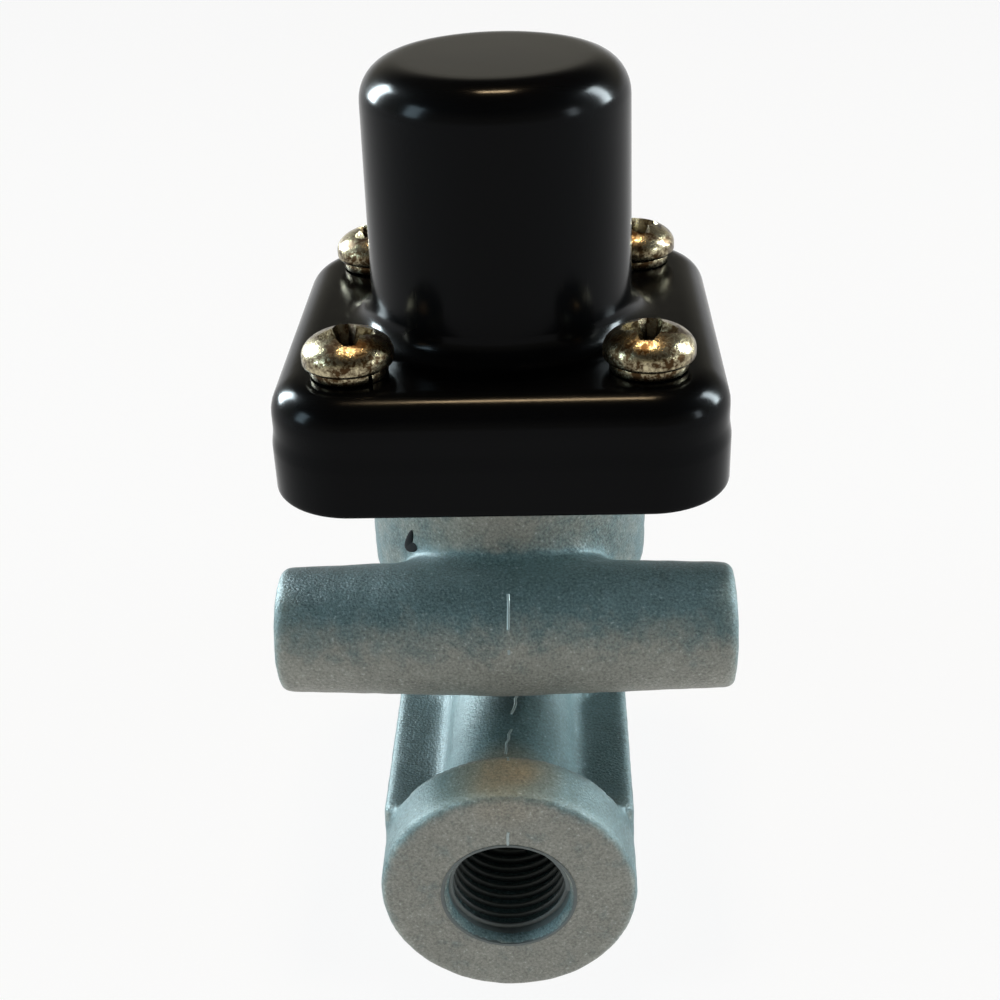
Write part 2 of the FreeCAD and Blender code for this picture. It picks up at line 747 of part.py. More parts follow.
def main():
    bodies = [
        valve_body(), spring_cover(), cover_gasket(), valve_seat(), seat_ring(), piston(),
        grooved_ring("piston_seal", "seal_groove_rise", "seal_groove_depth", "seal_groove_height"),
        grooved_ring("guide_ring", "guide_groove_rise", "guide_groove_depth", "guide_groove_height"),
        valve_disc(), disc_retainer(), disc_screw(), pressure_spring(), upper_spring_seat(),
    ]
    for number in (1, 2):
        bodies.append(preset_shim(f"preset_shim_{number}", number))
    for number, (across, along) in enumerate(SCREW_CORNERS, start=1):
        bodies.append(cover_screw(f"cover_screw_{number}", across, along))
        bodies.append(lock_washer(f"lock_washer_{number}", across, along))
    write_parts(bodies)


main()
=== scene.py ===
"""Looks of a pressure protection valve, built around its packed CAD model."""

import json
import math

import bmesh
import bpy
import numpy as np
from mathutils import Matrix, Vector
from mathutils.bvhtree import BVHTree


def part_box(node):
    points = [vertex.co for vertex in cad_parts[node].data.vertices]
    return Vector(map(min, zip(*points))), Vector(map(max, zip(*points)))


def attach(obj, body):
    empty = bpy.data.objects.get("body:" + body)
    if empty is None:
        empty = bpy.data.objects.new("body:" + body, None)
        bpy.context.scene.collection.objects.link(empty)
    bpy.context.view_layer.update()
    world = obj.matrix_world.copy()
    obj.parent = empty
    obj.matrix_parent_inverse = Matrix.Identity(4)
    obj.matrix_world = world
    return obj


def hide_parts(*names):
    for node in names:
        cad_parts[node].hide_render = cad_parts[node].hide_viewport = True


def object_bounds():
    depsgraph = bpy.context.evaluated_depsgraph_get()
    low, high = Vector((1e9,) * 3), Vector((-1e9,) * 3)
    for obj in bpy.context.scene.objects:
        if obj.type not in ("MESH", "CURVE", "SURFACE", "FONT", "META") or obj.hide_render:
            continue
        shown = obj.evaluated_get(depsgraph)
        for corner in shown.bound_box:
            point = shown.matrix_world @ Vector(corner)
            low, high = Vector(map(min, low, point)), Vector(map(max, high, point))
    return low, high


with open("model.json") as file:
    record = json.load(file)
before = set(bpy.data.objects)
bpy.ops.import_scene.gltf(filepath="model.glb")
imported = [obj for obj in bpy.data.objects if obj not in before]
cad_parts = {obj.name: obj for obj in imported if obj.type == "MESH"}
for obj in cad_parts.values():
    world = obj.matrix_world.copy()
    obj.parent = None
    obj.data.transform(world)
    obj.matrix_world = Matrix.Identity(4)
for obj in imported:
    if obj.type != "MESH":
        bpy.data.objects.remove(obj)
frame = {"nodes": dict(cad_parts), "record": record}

bl_info = {
    "name": "Pressure Protection Valve",
    "version": (1, 0, 0),
    "blender": (4, 5, 0),
    "location": "View3D > Sidebar > Valve",
    "description": "Gives the valve's solids their cast, painted and plated finishes",
    "category": "Object",
}

HOUSING = "housing"
MM = 0.001

cad_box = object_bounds()
mounts = {mount["name"]: mount for mount in frame["record"]["mounts"]}
body_low, body_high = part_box("valve_body")
cover_low, cover_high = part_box("spring_cover")
washer_low, washer_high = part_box("lock_washer_1")
screw_low, screw_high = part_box("cover_screw_1")

# The valve's axis stands upright in the middle of the cover; the port axis lies along Y.
VALVE_AXIS_Y = (cover_low.y + cover_high.y) / 2
COVER_HALF_WIDTH = (cover_high.x - cover_low.x) / 2
COVER_PLATE_TOP = washer_low.z
SCREW_HALF_SPACING = abs(screw_low.x + screw_high.x) / 2
PORT_AXIS_Z = mounts["supply_port"]["pos_m"][2]
PORT_BORE_RADIUS = mounts["supply_port"]["dims"]["r_mm"] * MM
PORT_BORE_DEPTH = mounts["supply_port"]["dims"]["length_mm"] * MM
PORT_BORE_START = VALVE_AXIS_Y - mounts["supply_port"]["pos_m"][1]
PORT_FACE_REACH = VALVE_AXIS_Y - body_low.y


def length(name, default_mm, description):
    """A length property in metres whose default is given in millimetres."""
    return bpy.props.FloatProperty(
        name=name, description=description, default=default_mm * MM, precision=5, unit="LENGTH"
    )


def angle(name, default_degrees, description):
    """An angle property whose default is given in degrees."""
    return bpy.props.FloatProperty(
        name=name, description=description, default=math.radians(default_degrees), subtype="ANGLE"
    )


def whole_number(name, default, description):
    """A whole number property that isn't negative."""
    return bpy.props.IntProperty(name=name, description=description, default=default, min=0)


def colour(name, default, description):
    """A linear colour property."""
    return bpy.props.FloatVectorProperty(
        name=name, description=description, default=default, size=3, min=0, max=1, subtype="COLOR"
    )


def place(name, default_mm, description):
    """A position property in metres whose default is given in millimetres."""
    return bpy.props.FloatVectorProperty(
        name=name,
        description=description,
        default=[value * MM for value in default_mm],
        size=3,
        precision=5,
        subtype="TRANSLATION",
    )


class Wire:
    """The output of a shader node, which Python's operators join to Math nodes."""

    def __init__(self, finish, socket):
        self.finish = finish
        self.socket = socket

    def math(self, operation, *values):
        inputs = dict(enumerate(values))
        return self.finish.node("ShaderNodeMath", {"operation": operation}, inputs)

    def __add__(self, other):
        return self.math("ADD", self, other)

    def __radd__(self, other):
        return self.math("ADD", other, self)

    def __sub__(self, other):
        return self.math("SUBTRACT", self, other)

    def __rsub__(self, other):
        return self.math("SUBTRACT", other, self)

    def __mul__(self, other):
        return self.math("MULTIPLY", self, other)

    def __rmul__(self, other):
        return self.math("MULTIPLY", other, self)


class Finish:
    """The shader nodes of a material or a world under construction."""

    def __init__(self, owner):
        owner.use_nodes = True
        self.owner = owner
        self.tree = owner.node_tree
        self.tree.nodes.clear()

    def node(self, kind, settings=None, inputs=None, output=0):
        """Makes one node from its type, its settings and its sockets' values or wires."""
        made = self.tree.nodes.new(kind)
        for name, value in (settings or {}).items():
            if name == "stops":
                self.set_stops(made.color_ramp, value)
            else:
                setattr(made, name, value)
        for name, value in (inputs or {}).items():
            if isinstance(value, Wire):
                self.tree.links.new(value.socket, made.inputs[name])
            else:
                made.inputs[name].default_value = value
        return Wire(self, made.outputs[output]) if made.outputs else None

    @staticmethod
    def set_stops(ramp, stops):
        """Gives a ramp its stops, a list of place and grey value."""
        while len(ramp.elements) < len(stops):
            ramp.elements.new(1)
        for element, (at, value) in zip(ramp.elements, stops):
            element.position = at
            element.color = (value, value, value, 1)

    def object_place(self):
        """The place on the piece, in metres."""
        return self.node("ShaderNodeTexCoord", output="Object")

    def facing(self, direction):
        """How far the surface faces a direction of the object's own frame, from -1 to 1."""
        normal = self.node("ShaderNodeTexCoord", output="Normal")
        dot = {"operation": "DOT_PRODUCT"}
        return self.node("ShaderNodeVectorMath", dot, {0: normal, 1: direction}, "Value")

    def noise(self, scale, detail=2, roughness=0.5):
        """Soft noise from 0 to 1 with a scale in lumps per metre."""
        inputs = {
            "Vector": self.object_place(),
            "Scale": scale,
            "Detail": detail,
            "Roughness": roughness,
        }
        return self.node("ShaderNodeTexNoise", {"noise_dimensions": "3D"}, inputs, "Fac")

    def attribute(self, name):
        """A number that the mesh carries at each vertex."""
        return self.node("ShaderNodeAttribute", {"attribute_name": name}, output="Fac")

    def ramp(self, value, *stops):
        """Reshapes a number by straight steps between stops."""
        return self.node("ShaderNodeValToRGB", {"stops": stops}, {"Fac": value})

    def mix(self, share, first, second):
        """Blends two colours by a share from 0 to 1."""
        sides = {6: opaque(first), 7: opaque(second), 0: share}
        return self.node("ShaderNodeMix", {"data_type": "RGBA"}, sides, 2)

    def scaled(self, shade, factor):
        """A colour times a number."""
        both = {0: shade, "Scale": factor}
        return self.node("ShaderNodeVectorMath", {"operation": "SCALE"}, both)

    def bump(self, height, distance, strength=1.0):
        """A normal from a height from 0 to 1 over a depth in metres."""
        inputs = {"Height": height, "Distance": distance, "Strength": strength}
        return self.node("ShaderNodeBump", None, inputs, "Normal")

    def principled(self, **sockets):
        """Ends the material with its shader; underscores in names stand for spaces."""
        inputs = {name.replace("_", " "): opaque(value) for name, value in sockets.items()}
        shader = self.node("ShaderNodeBsdfPrincipled", None, inputs, "BSDF")
        self.node("ShaderNodeOutputMaterial", None, {"Surface": shader})
        return self.owner


def opaque(value):
    """A colour of three numbers with its alpha, and anything else as it is."""
    if isinstance(value, Wire) or not hasattr(value, "__len__"):
        return value
    return (*value, 1)


def mesh_arrays(mesh):
    """A mesh's vertices, and its edges as pairs of indices."""
    points = np.empty(len(mesh.vertices) * 3, np.float32)
    mesh.vertices.foreach_get("co", points)
    edges = np.empty(len(mesh.edges) * 2, np.int32)
    mesh.edges.foreach_get("vertices", edges)
    return points.reshape(-1, 3).astype(float), edges.reshape(-1, 2)


def set_points(mesh, points):
    """Moves a mesh's vertices."""
    mesh.vertices.foreach_set("co", points.astype(np.float32).ravel())
    mesh.update()


def vertex_normals(mesh):
    """A mesh's vertex normals as an array."""
    normals = np.empty(len(mesh.vertices) * 3, np.float32)
    mesh.vertices.foreach_get("normal", normals)
    return normals.reshape(-1, 3).astype(float)


def neighbour_means(points, edges):
    """The mean place of each vertex's neighbours."""
    total = np.zeros_like(points)
    count = np.zeros(len(points))
    for near, far in ((0, 1), (1, 0)):
        for axis in range(3):
            total[:, axis] += np.bincount(edges[:, near], points[edges[:, far], axis], len(points))
        count += np.bincount(edges[:, near], minlength=len(points))
    return total / np.maximum(count, 1)[:, None]


def shade_smooth(mesh):
    """Shades all faces of a mesh smooth."""
    mesh.polygons.foreach_set("use_smooth", [True] * len(mesh.polygons))


def new_object(name, mesh, material=None):
    """A linked object with a smooth mesh and one material."""
    made = bpy.data.objects.new(name, mesh)
    bpy.context.scene.collection.objects.link(made)
    if material:
        mesh.materials.clear()
        mesh.materials.append(material)
    shade_smooth(mesh)
    return made


def mesh_from(name, points, faces):
    """A closed mesh from points and faces, its doubles merged and its faces turned outwards."""
    shape = bmesh.new()
    vertices = [shape.verts.new(point) for point in points]
    for face in faces:
        corners = [vertices[index] for index in dict.fromkeys(face)]
        if len(corners) > 2:
            shape.faces.new(corners)
    bmesh.ops.remove_doubles(shape, verts=shape.verts, dist=1e-7)
    bmesh.ops.recalc_face_normals(shape, faces=shape.faces)
    mesh = bpy.data.meshes.new(name)
    shape.to_mesh(mesh)
    shape.free()
    return mesh


def ring_faces(rings, around, closed_ends=True):
    """Faces between rings of equally many points, with a fan at each end where wanted."""
    faces = []
    for ring in range(rings - 1):
        for step in range(around):
            here, there = ring * around + step, ring * around + (step + 1) % around
            faces.append((here, there, there + around, here + around))
    if closed_ends:
        faces.append(tuple(range(around)))
        faces.append(tuple(range((rings - 1) * around, rings * around)))
    return faces


def applied(made):
    """Turns an object's evaluated shape into its plain mesh and removes its modifiers."""
    evaluated = made.evaluated_get(bpy.context.evaluated_depsgraph_get())
    mesh = bpy.data.meshes.new_from_object(evaluated)
    made.modifiers.clear()
    made.data = mesh
    return made


def finished(made, body, material_slot, *nodes):
    """Hangs a finished piece under the empty of the body it rides on and hides what it replaces;
    its slot is not used.
    """
    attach(made, body)
    if nodes:
        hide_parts(*nodes)


class NodeTree:
    """A Geometry Nodes tree under construction."""

    def __init__(self, name, *numbers, whole=()):
        self.tree = bpy.data.node_groups.new(name, "GeometryNodeTree")
        sockets = [("Geometry", "INPUT", "NodeSocketGeometry")]
        sockets += [(label, "INPUT", "NodeSocketFloat") for label in numbers]
        sockets += [(label, "INPUT", "NodeSocketInt") for label in whole]
        sockets += [("Geometry", "OUTPUT", "NodeSocketGeometry")]
        for label, way, kind in sockets:
            self.tree.interface.new_socket(label, in_out=way, socket_type=kind)
        self.start = self.tree.nodes.new("NodeGroupInput")

    def node(self, kind, settings=None, inputs=None, output=0):
        """Makes one node; a text among its inputs' values names an input of the tree."""
        made = self.tree.nodes.new(kind)
        for name, value in (settings or {}).items():
            setattr(made, name, value)
        for name, value in (inputs or {}).items():
            if isinstance(value, str):
                value = self.start.outputs[value]
            if isinstance(value, bpy.types.NodeSocket):
                self.tree.links.new(value, made.inputs[name])
            else:
                made.inputs[name].default_value = value
        return made.outputs[output]

    def rounded(self, section, radius, count):
        """A section with its corners rounded."""
        inputs = {"Curve": section, "Radius": radius, "Count": count}
        return self.node("GeometryNodeFilletCurve", {"mode": "POLY"}, inputs)

    def swept(self, path, section):
        """A closed solid of one section along a path."""
        inputs = {"Curve": path, "Profile Curve": section, "Fill Caps": True}
        return self.node("GeometryNodeCurveToMesh", None, inputs)

    def end(self, geometry, material):
        """Realizes the instances, sets the material and ends the tree."""
        real = self.node("GeometryNodeRealizeInstances", None, {0: geometry})
        inputs = {"Geometry": real, "Material": material}
        painted = self.node("GeometryNodeSetMaterial", None, inputs)
        group_end = self.tree.nodes.new("NodeGroupOutput")
        self.tree.links.new(painted, group_end.inputs[0])
        return self

    def run(self, made, values):
        """Runs the tree on an object and keeps the result as its plain mesh."""
        modifier = made.modifiers.new(self.tree.name, "NODES")
        modifier.node_group = self.tree
        for item in self.tree.interface.items_tree:
            if item.item_type == "SOCKET" and item.in_out == "INPUT" and item.name in values:
                modifier[item.identifier] = values[item.name]
        return applied(made)


class ValveCastingSettings(bpy.types.PropertyGroup):
    """Shape and finish of the die-cast body."""

    voxel: length("Mesh Step", 0.42, "Edge length of the remeshed casting")
    even_passes: whole_number("Even Passes", 2, "How often the remeshed skin is evened out")
    fillet_passes: whole_number("Fillet Passes", 14, "How far the inner corners are filled")
    bar_radius: length("Bar Radius", 7.7, "Radius of the cross bar in its middle")
    bar_end_radius: length("Bar End Radius", 6.9, "Radius of the cross bar at its ends")
    collar_radius: length("Collar Radius", 16.3, "Radius of the collar behind the bar")
    junction_fillet: length("Junction Fillet", 2.2, "Fillet between the bar's top and the collar")
    lump_height: length("Lump Height", 0.022, "How far the cast skin swells and sinks")
    lump_size: length("Lump Size", 2.6, "Breadth of the swells in the cast skin")
    # Painted light: the cool grey is the skin as if lit by cool light on faces turned up or
    # sideways, the warm grey as if lit by warm light on faces turned to the supply port's side and
    # down.
    skin_in_painted_cool_light: colour("Cool Grey", (0.130, 0.194, 0.198), "Skin that faces up and to the sides")
    skin_in_painted_warm_light: colour("Warm Grey", (0.234, 0.231, 0.200), "Skin that faces the supply port's side")
    # Painted light: the warm overhead lamp's light, painted as a patchy spot on top of the supply
    # port's drum.
    painted_warm_lamp_light: colour("Bronze", (0.30, 0.22, 0.13), "Stain on top of the supply port's drum")
    worn_grey: colour("Worn Grey", (0.44, 0.47, 0.45), "Rubbed outer edges")
    # Painted shade: the crease grey darkens the filled inner corners.
    painted_crease_shade: colour("Crease Grey", (0.070, 0.085, 0.085), "Inner corners")
    grain_size: length("Grain Size", 0.30, "Breadth of the grains in the cast skin")
    grain_depth: length("Grain Depth", 0.10, "Depth of the grains in the cast skin")


class ValveCoverSettings(bpy.types.PropertyGroup):
    """Shape and paint of the deep-drawn spring cover."""

    corner_radius: length("Corner Radius", 8.5, "Radius of the cover's four corners in plan")
    edge_radius: length("Edge Radius", 3.8, "Rounding between the plate and the skirt")
    dome_base_radius: length("Dome Base Radius", 14.45, "Radius of the dome at its foot")
    dome_top_radius: length("Dome Top Radius", 14.2, "Radius of the dome under its rounded edge")
    dome_edge_radius: length("Dome Edge Radius", 4.2, "Rounding of the dome's top edge")
    dome_root_radius: length("Dome Root Radius", 3.0, "Fillet between the dome and the plate")
    sheet: length("Sheet", 1.5, "Thickness of the steel")
    crease_height: length("Crease Height", 6.2, "Height of the skirt's step over its lip")
    crease_length: length("Crease Length", 2.2, "Height over which the skirt steps out")
    lip_flare: length("Lip Flare", 0.25, "How far the skirt steps out below the crease")
    paint: colour("Paint", (0.0025, 0.0025, 0.0028), "The black paint")


class ValveScrewSettings(bpy.types.PropertyGroup):
    """Shape and plating of the screws and their lock washers."""

    head_radius: length("Head Radius", 4.8, "Radius of the pan heads")
    head_height: length("Head Height", 3.5, "Height of the pan heads")
    head_rim: length("Head Rim", 1.0, "Height of the head's widest ring over the washer")
    shank_radius: length("Shank Radius", 2.35, "Radius of the threaded shank")
    shank_length: length("Shank Length", 10.0, "Length of the shank under the head")
    recess_reach: length("Recess Reach", 3.2, "Reach of the cross recess from the head's middle")
    recess_width: length("Recess Width", 1.75, "Width of one wing of the cross recess")
    recess_depth: length("Recess Depth", 2.4, "Depth of the cross recess")
    washer_radius: length("Washer Radius", 3.35, "Radius of the middle of the lock washer's wire")
    washer_width: length("Washer Width", 1.5, "Width of the lock washer's wire")
    washer_height: length("Washer Height", 1.0, "Height of the lock washer's wire")
    washer_rise: length("Washer Rise", 0.24, "How far the lock washer's ends stand apart")
    washer_sweep: angle("Washer Sweep", 354, "How far round the lock washer goes")
    gold: colour("Gold", (0.46, 0.40, 0.26), "The bright plating")
    brown: colour("Brown", (0.050, 0.028, 0.012), "The dark stains in the plating")


class ValvePortSettings(bpy.types.PropertyGroup):
    """The mouths and threads cut in the two ports."""

    mouth_radius: length("Mouth Radius", 7.0, "Radius of the cone at the port's face")
    mouth_depth: length("Mouth Depth", 1.2, "Depth of the cone")
    mouth_wall: length("Mouth Wall", 0.35, "Width of the bright ring round the mouth")
    pitch: length("Pitch", 1.41, "Distance between two turns of the thread")
    thread_depth: length("Thread Depth", 0.7, "Height of the thread's crest over its root")
    taper: length("Taper", 0.35, "How far the thread narrows over its length")
    cut_metal: colour("Cut Metal", (0.13, 0.145, 0.14), "Machined metal in the port")


class ValveMarkSettings(bpy.types.PropertyGroup):
    """Flash left by the die, and drops of paint."""

    flash_width: length("Flash Width", 0.38, "Width of the parting line")
    flash_grey: colour("Flash Grey", (0.35, 0.40, 0.39), "Metal of the parting line")
    drop: colour("Paint Drop", (0.006, 0.007, 0.008), "Drops of the cover's paint")


class ValveStageSettings(bpy.types.PropertyGroup):
    """Floor, light and camera."""

    floor_size: length("Floor Size", 6000, "Side of the square floor")
    pale: colour("Pale", (0.93, 0.93, 0.93), "Colour of the floor and the backdrop")
    camera_place: place("Camera Place", (6.09, -137.1, 94.7), "Where the camera stands")
    camera_pitch: angle("Camera Pitch", 29.75, "How far the camera looks down")
    camera_yaw: angle("Camera Yaw", -2.63, "How far the camera looks to the right")
    camera_roll: angle("Camera Roll", -2.18, "How far the camera is tipped")
    camera_lens: length("Camera Lens", 53.77, "Focal length on a 36 mm wide picture")


def cast_finish(settings):
    """Sand-grained aluminium, worn on its edges, with painted light: cooler where it faces up or
    sideways, warmer toward the supply port, warm lamp light on top of its drum and shade in inner
    corners.
    """
    finish = Finish(bpy.data.materials.new("cast_aluminium"))
    grains = finish.noise(1 / settings.grain_size, 4, 0.75)
    stains = finish.noise(160, 4, 0.6)
    patches = finish.noise(420, 4, 0.65)
    # Painted light by facing: up and sideways faces take the cool grey, faces toward the supply
    # port's side and down take the warm grey, the border broken up by random patches.
    tilt = finish.facing((0, -0.8, -0.6)) + 0.4 * stains + 1.3 * patches
    painted_warm_light_share = finish.ramp(tilt - 0.6, (0.35, 0), (1.0, 1))
    skin = finish.mix(painted_warm_light_share, settings.skin_in_painted_cool_light[:], settings.skin_in_painted_warm_light[:])
    # Painted warm lamp light: a patchy spot centred on top of the supply port's drum.
    warm_light_centre = {0: finish.object_place(), 1: (0, cad_box[0].y + 4.8 * MM, PORT_AXIS_Z + 14.5 * MM)}
    from_warm_light = finish.node("ShaderNodeVectorMath", {"operation": "DISTANCE"}, warm_light_centre, "Value")
    stain_and_painted_light_share = finish.ramp(from_warm_light * 100, (0.2, 0.75), (0.7, 0)) * stains * 1.6
    skin = finish.mix(stain_and_painted_light_share, skin, settings.painted_warm_lamp_light[:])
    rough_skin = finish.ramp(finish.facing((0, -1, 0)), (0.95, 1), (0.99, 0.85))
    mottle = 2.6 * grains + 0.5 * stains + 0.5 * patches - 1.8
    skin = finish.scaled(skin, 1 + rough_skin * mottle)
    specks = finish.ramp(finish.noise(1 / settings.grain_size, 1), (0.70, 0), (0.78, 0.6))
    skin = finish.mix(specks * rough_skin, skin, settings.worn_grey[:])
    skin = finish.mix(finish.attribute("wear") * 0.5 * grains, skin, settings.worn_grey[:])
    # Painted shade in the filled inner corners.
    skin = finish.mix(finish.attribute("crease") * 0.6, skin, settings.painted_crease_shade[:])
    pits = finish.node(
        "ShaderNodeTexVoronoi",
        {"feature": "F1"},
        {"Vector": finish.object_place(), "Scale": 1 / settings.grain_size},
        "Distance",
    )
    relief = finish.bump((0.65 * grains + 0.35 * pits) * rough_skin, settings.grain_depth, 1.0)
    return finish.principled(
        Base_Color=skin,
        Metallic=0.1,
        Roughness=0.36 + 0.22 * grains,
        Specular_IOR_Level=0.3,
        Normal=relief,
    )


def plain_finish(name, shade, roughness, metallic=0.0, grain=0.03, scale=900, specular=0.5):
    """One even colour with a slight variation in its gloss and surface."""
    finish = Finish(bpy.data.materials.new(name))
    spots = finish.noise(scale, 3)
    varied = finish.mix(finish.ramp(spots, (0.3, 0), (0.7, 1)), [0.82 * c for c in shade], shade)
    return finish.principled(
        Base_Color=varied,
        Metallic=metallic,
        Roughness=roughness - 0.06 + 0.12 * spots,
        Specular_IOR_Level=specular,
        Normal=finish.bump(spots, grain * MM, 0.5),
    )


def paint_finish(settings):
    """Gloss black paint with a faint orange peel and a slight haze."""
    finish = Finish(bpy.data.materials.new("gloss_black_paint"))
    peel = finish.noise(420, 2)
    haze = finish.ramp(finish.noise(90, 4, 0.6), (0.4, 0), (0.75, 1))
    return finish.principled(
        Base_Color=settings.paint[:],
        Roughness=0.15 + 0.07 * haze,
        Specular_IOR_Level=0.055,
        Normal=finish.bump(peel, 0.02 * MM, 0.35),
    )


def plating_finish(settings, name="yellow_plating"):
    """Yellow zinc plating, mottled gold and brown over bright metal, with painted shade making it
    dark where the recess is deep.
    """
    finish = Finish(bpy.data.materials.new(name))
    blotches = finish.noise(900, 5, 0.7)
    streaks = finish.noise(2600, 3, 0.6)
    stain_and_painted_light_share = finish.ramp(0.75 * blotches + 0.25 * streaks, (0.45, 0), (0.60, 1))
    tone = finish.mix(stain_and_painted_light_share, settings.brown[:], settings.gold[:])
    # Painted shade: the cross recess darkens to near black with its depth.
    tone = finish.mix(finish.attribute("deep") * 0.97, tone, (0.012, 0.010, 0.008))
    return finish.principled(
        Base_Color=tone,
        Metallic=1.0,
        Roughness=0.34 - 0.14 * stain_and_painted_light_share,
        Normal=finish.bump(blotches, 0.10 * MM, 0.7),
    )


def remeshed(node, step):
    """A closed, evenly divided copy of a CAD node."""
    shape = bmesh.new()
    shape.from_mesh(node.data)
    bmesh.ops.remove_doubles(shape, verts=shape.verts, dist=1e-6)
    mesh = bpy.data.meshes.new("casting_mesh")
    shape.to_mesh(mesh)
    shape.free()
    made = new_object("cast_body", mesh)
    remesh = made.modifiers.new("Even", "REMESH")
    remesh.mode = "VOXEL"
    remesh.voxel_size = step
    return applied(made)


# What stays machined: the port bores, past their radius by a margin and from some way along the
# port axis, and the piston's bore, from some way over the port axis.
BORE_MARGIN = 1.1 * MM
BORE_START = 20 * MM
PISTON_BORE_REACH = 13.2 * MM
PISTON_BORE_RISE = 20 * MM
FADE = 0.4 * MM


def machined_share(points):
    """1 in the port bores, on their mouths and in the piston's bore, 0 a little way off."""
    across = np.hypot(points[:, 0], points[:, 2] - PORT_AXIS_Z)
    along = np.abs(points[:, 1] - VALVE_AXIS_Y)
    from_valve = np.hypot(points[:, 0], points[:, 1] - VALVE_AXIS_Y)
    in_bore = np.clip((PORT_BORE_RADIUS + BORE_MARGIN - across) / FADE, 0, 1)
    deep_enough = np.clip((along - BORE_START) / (1.5 * MM), 0, 1)
    in_piston_bore = np.clip((PISTON_BORE_REACH - from_valve) / FADE, 0, 1)
    high_enough = points[:, 2] > PORT_AXIS_Z + PISTON_BORE_RISE
    return np.maximum(in_bore * deep_enough, in_piston_bore * high_enough)


# Where the fillet between bar and collar runs: from the bar's middle up, and how far aside.
JUNCTION_RISE = 1.5 * MM
JUNCTION_END = 12.5 * MM
JUNCTION_FADE = 3.5 * MM
ON_SKIN = 0.4 * MM


def fill_junction(mesh, settings):
    """Rolls a fillet of one radius into the corner between the bar's top and the collar."""
    points, _ = mesh_arrays(mesh)
    bar = np.array(mounts["mounting_bore"]["pos_m"])
    half_bar = mounts["mounting_bore"]["dims"]["length_mm"] * MM / 2
    radius = settings.junction_fillet
    high = np.clip((points[:, 2] - bar[2]) / JUNCTION_RISE, 0, 1)
    high = high * np.clip((JUNCTION_END - np.abs(points[:, 0])) / JUNCTION_FADE, 0, 1)
    share = None
    for _ in range(8):
        thinner = (settings.bar_radius - settings.bar_end_radius) * (points[:, 0] / half_bar) ** 2
        from_bar = np.hypot(points[:, 1] - bar[1], points[:, 2] - bar[2])
        from_valve = np.hypot(points[:, 0], points[:, 1] - VALVE_AXIS_Y)
        off_bar = from_bar - settings.bar_radius + thinner
        off_collar = from_valve - settings.collar_radius
        if share is None:
            share = high * (np.minimum(np.abs(off_bar), np.abs(off_collar)) < ON_SKIN)
        near_bar = np.maximum(radius - off_bar, 0)
        near_collar = np.maximum(radius - off_collar, 0)
        reach = np.maximum(np.hypot(near_bar, near_collar), 1e-9)
        inside = np.where((near_bar > 0) & (near_collar > 0), np.maximum(reach - radius, 0), 0)
        to_bar = (points - bar) * (0, 1, 1) / np.maximum(from_bar, 1e-9)[:, None]
        from_axis = (points - (0, VALVE_AXIS_Y, 0)) * (1, 1, 0)
        to_collar = from_axis / np.maximum(from_valve, 1e-9)[:, None]
        way = (near_bar / reach)[:, None] * to_bar + (near_collar / reach)[:, None] * to_collar
        points = points + (share * inside)[:, None] * way
    set_points(mesh, points)


# How strongly each pass evens and fills, and, in mesh steps, from which bend it fills, which bend
# is fully worn, and which filling is a full crease of painted shade.
EVENING = 0.5
FILLING = 0.6
FILLED_BEND = 0.02
WORN_BEND = 0.16
CREASE_FILL = 0.9
# The painted shade in creases keeps off the ports' faces and stays below this height.
CREASE_MARGIN = 4 * MM
CREASE_TOP = -4 * MM


def soften(mesh, even_passes, fillet_passes, step):
    """Evens the skin and fills inner corners, and keeps how much as wear and as crease, a share of
    painted shade.
    """
    points, edges = mesh_arrays(mesh)
    free = (1 - machined_share(points))[:, None]
    first = neighbour_means(points, edges) - points
    for _ in range(even_passes):
        points = points + EVENING * free * (neighbour_means(points, edges) - points)
    start = points.copy()
    for _ in range(fillet_passes):
        set_points(mesh, points)
        normals = vertex_normals(mesh)
        pull = neighbour_means(points, edges) - points
        along = np.einsum("ij,ij->i", pull, normals)
        share = np.clip(along / (FILLED_BEND * step), 0, 1) * free[:, 0]
        points = points + (FILLING * share * along)[:, None] * normals
    set_points(mesh, points)
    normals = vertex_normals(mesh)
    moved = np.einsum("ij,ij->i", points - start, normals)
    bend = np.einsum("ij,ij->i", first, normals)
    for _ in range(3):
        bend = 0.5 * bend + 0.5 * neighbour_means(np.repeat(bend[:, None], 3, 1), edges)[:, 0]
    wear = np.clip(-bend / (WORN_BEND * step), 0, 1) * free[:, 0]
    crease = np.clip(moved / (CREASE_FILL * step), 0, 1)
    off_mouths = np.abs(start[:, 1] - VALVE_AXIS_Y) < PORT_FACE_REACH - CREASE_MARGIN
    return wear, crease * off_mouths * (start[:, 2] < CREASE_TOP)


def swell(mesh, height, size, seed=4):
    """Gives a cast skin slow swells from a few seeded waves."""
    points, _ = mesh_arrays(mesh)
    random = np.random.default_rng(seed)
    total = np.zeros(len(points))
    waves = 14
    for _ in range(waves):
        way = random.normal(size=3)
        way *= random.uniform(0.6, 1.5) * 2 * math.pi / (size * np.linalg.norm(way))
        total += np.sin(points @ way + random.uniform(0, 2 * math.pi))
    shift = total / math.sqrt(waves) * height * (1 - machined_share(points))
    set_points(mesh, points + shift[:, None] * vertex_normals(mesh))


def keep_number(mesh, name, values):
    """Stores a number at each vertex for the material to read."""
    layer = mesh.attributes.new(name, "FLOAT", "POINT")
    layer.data.foreach_set("value", values.astype(np.float32))


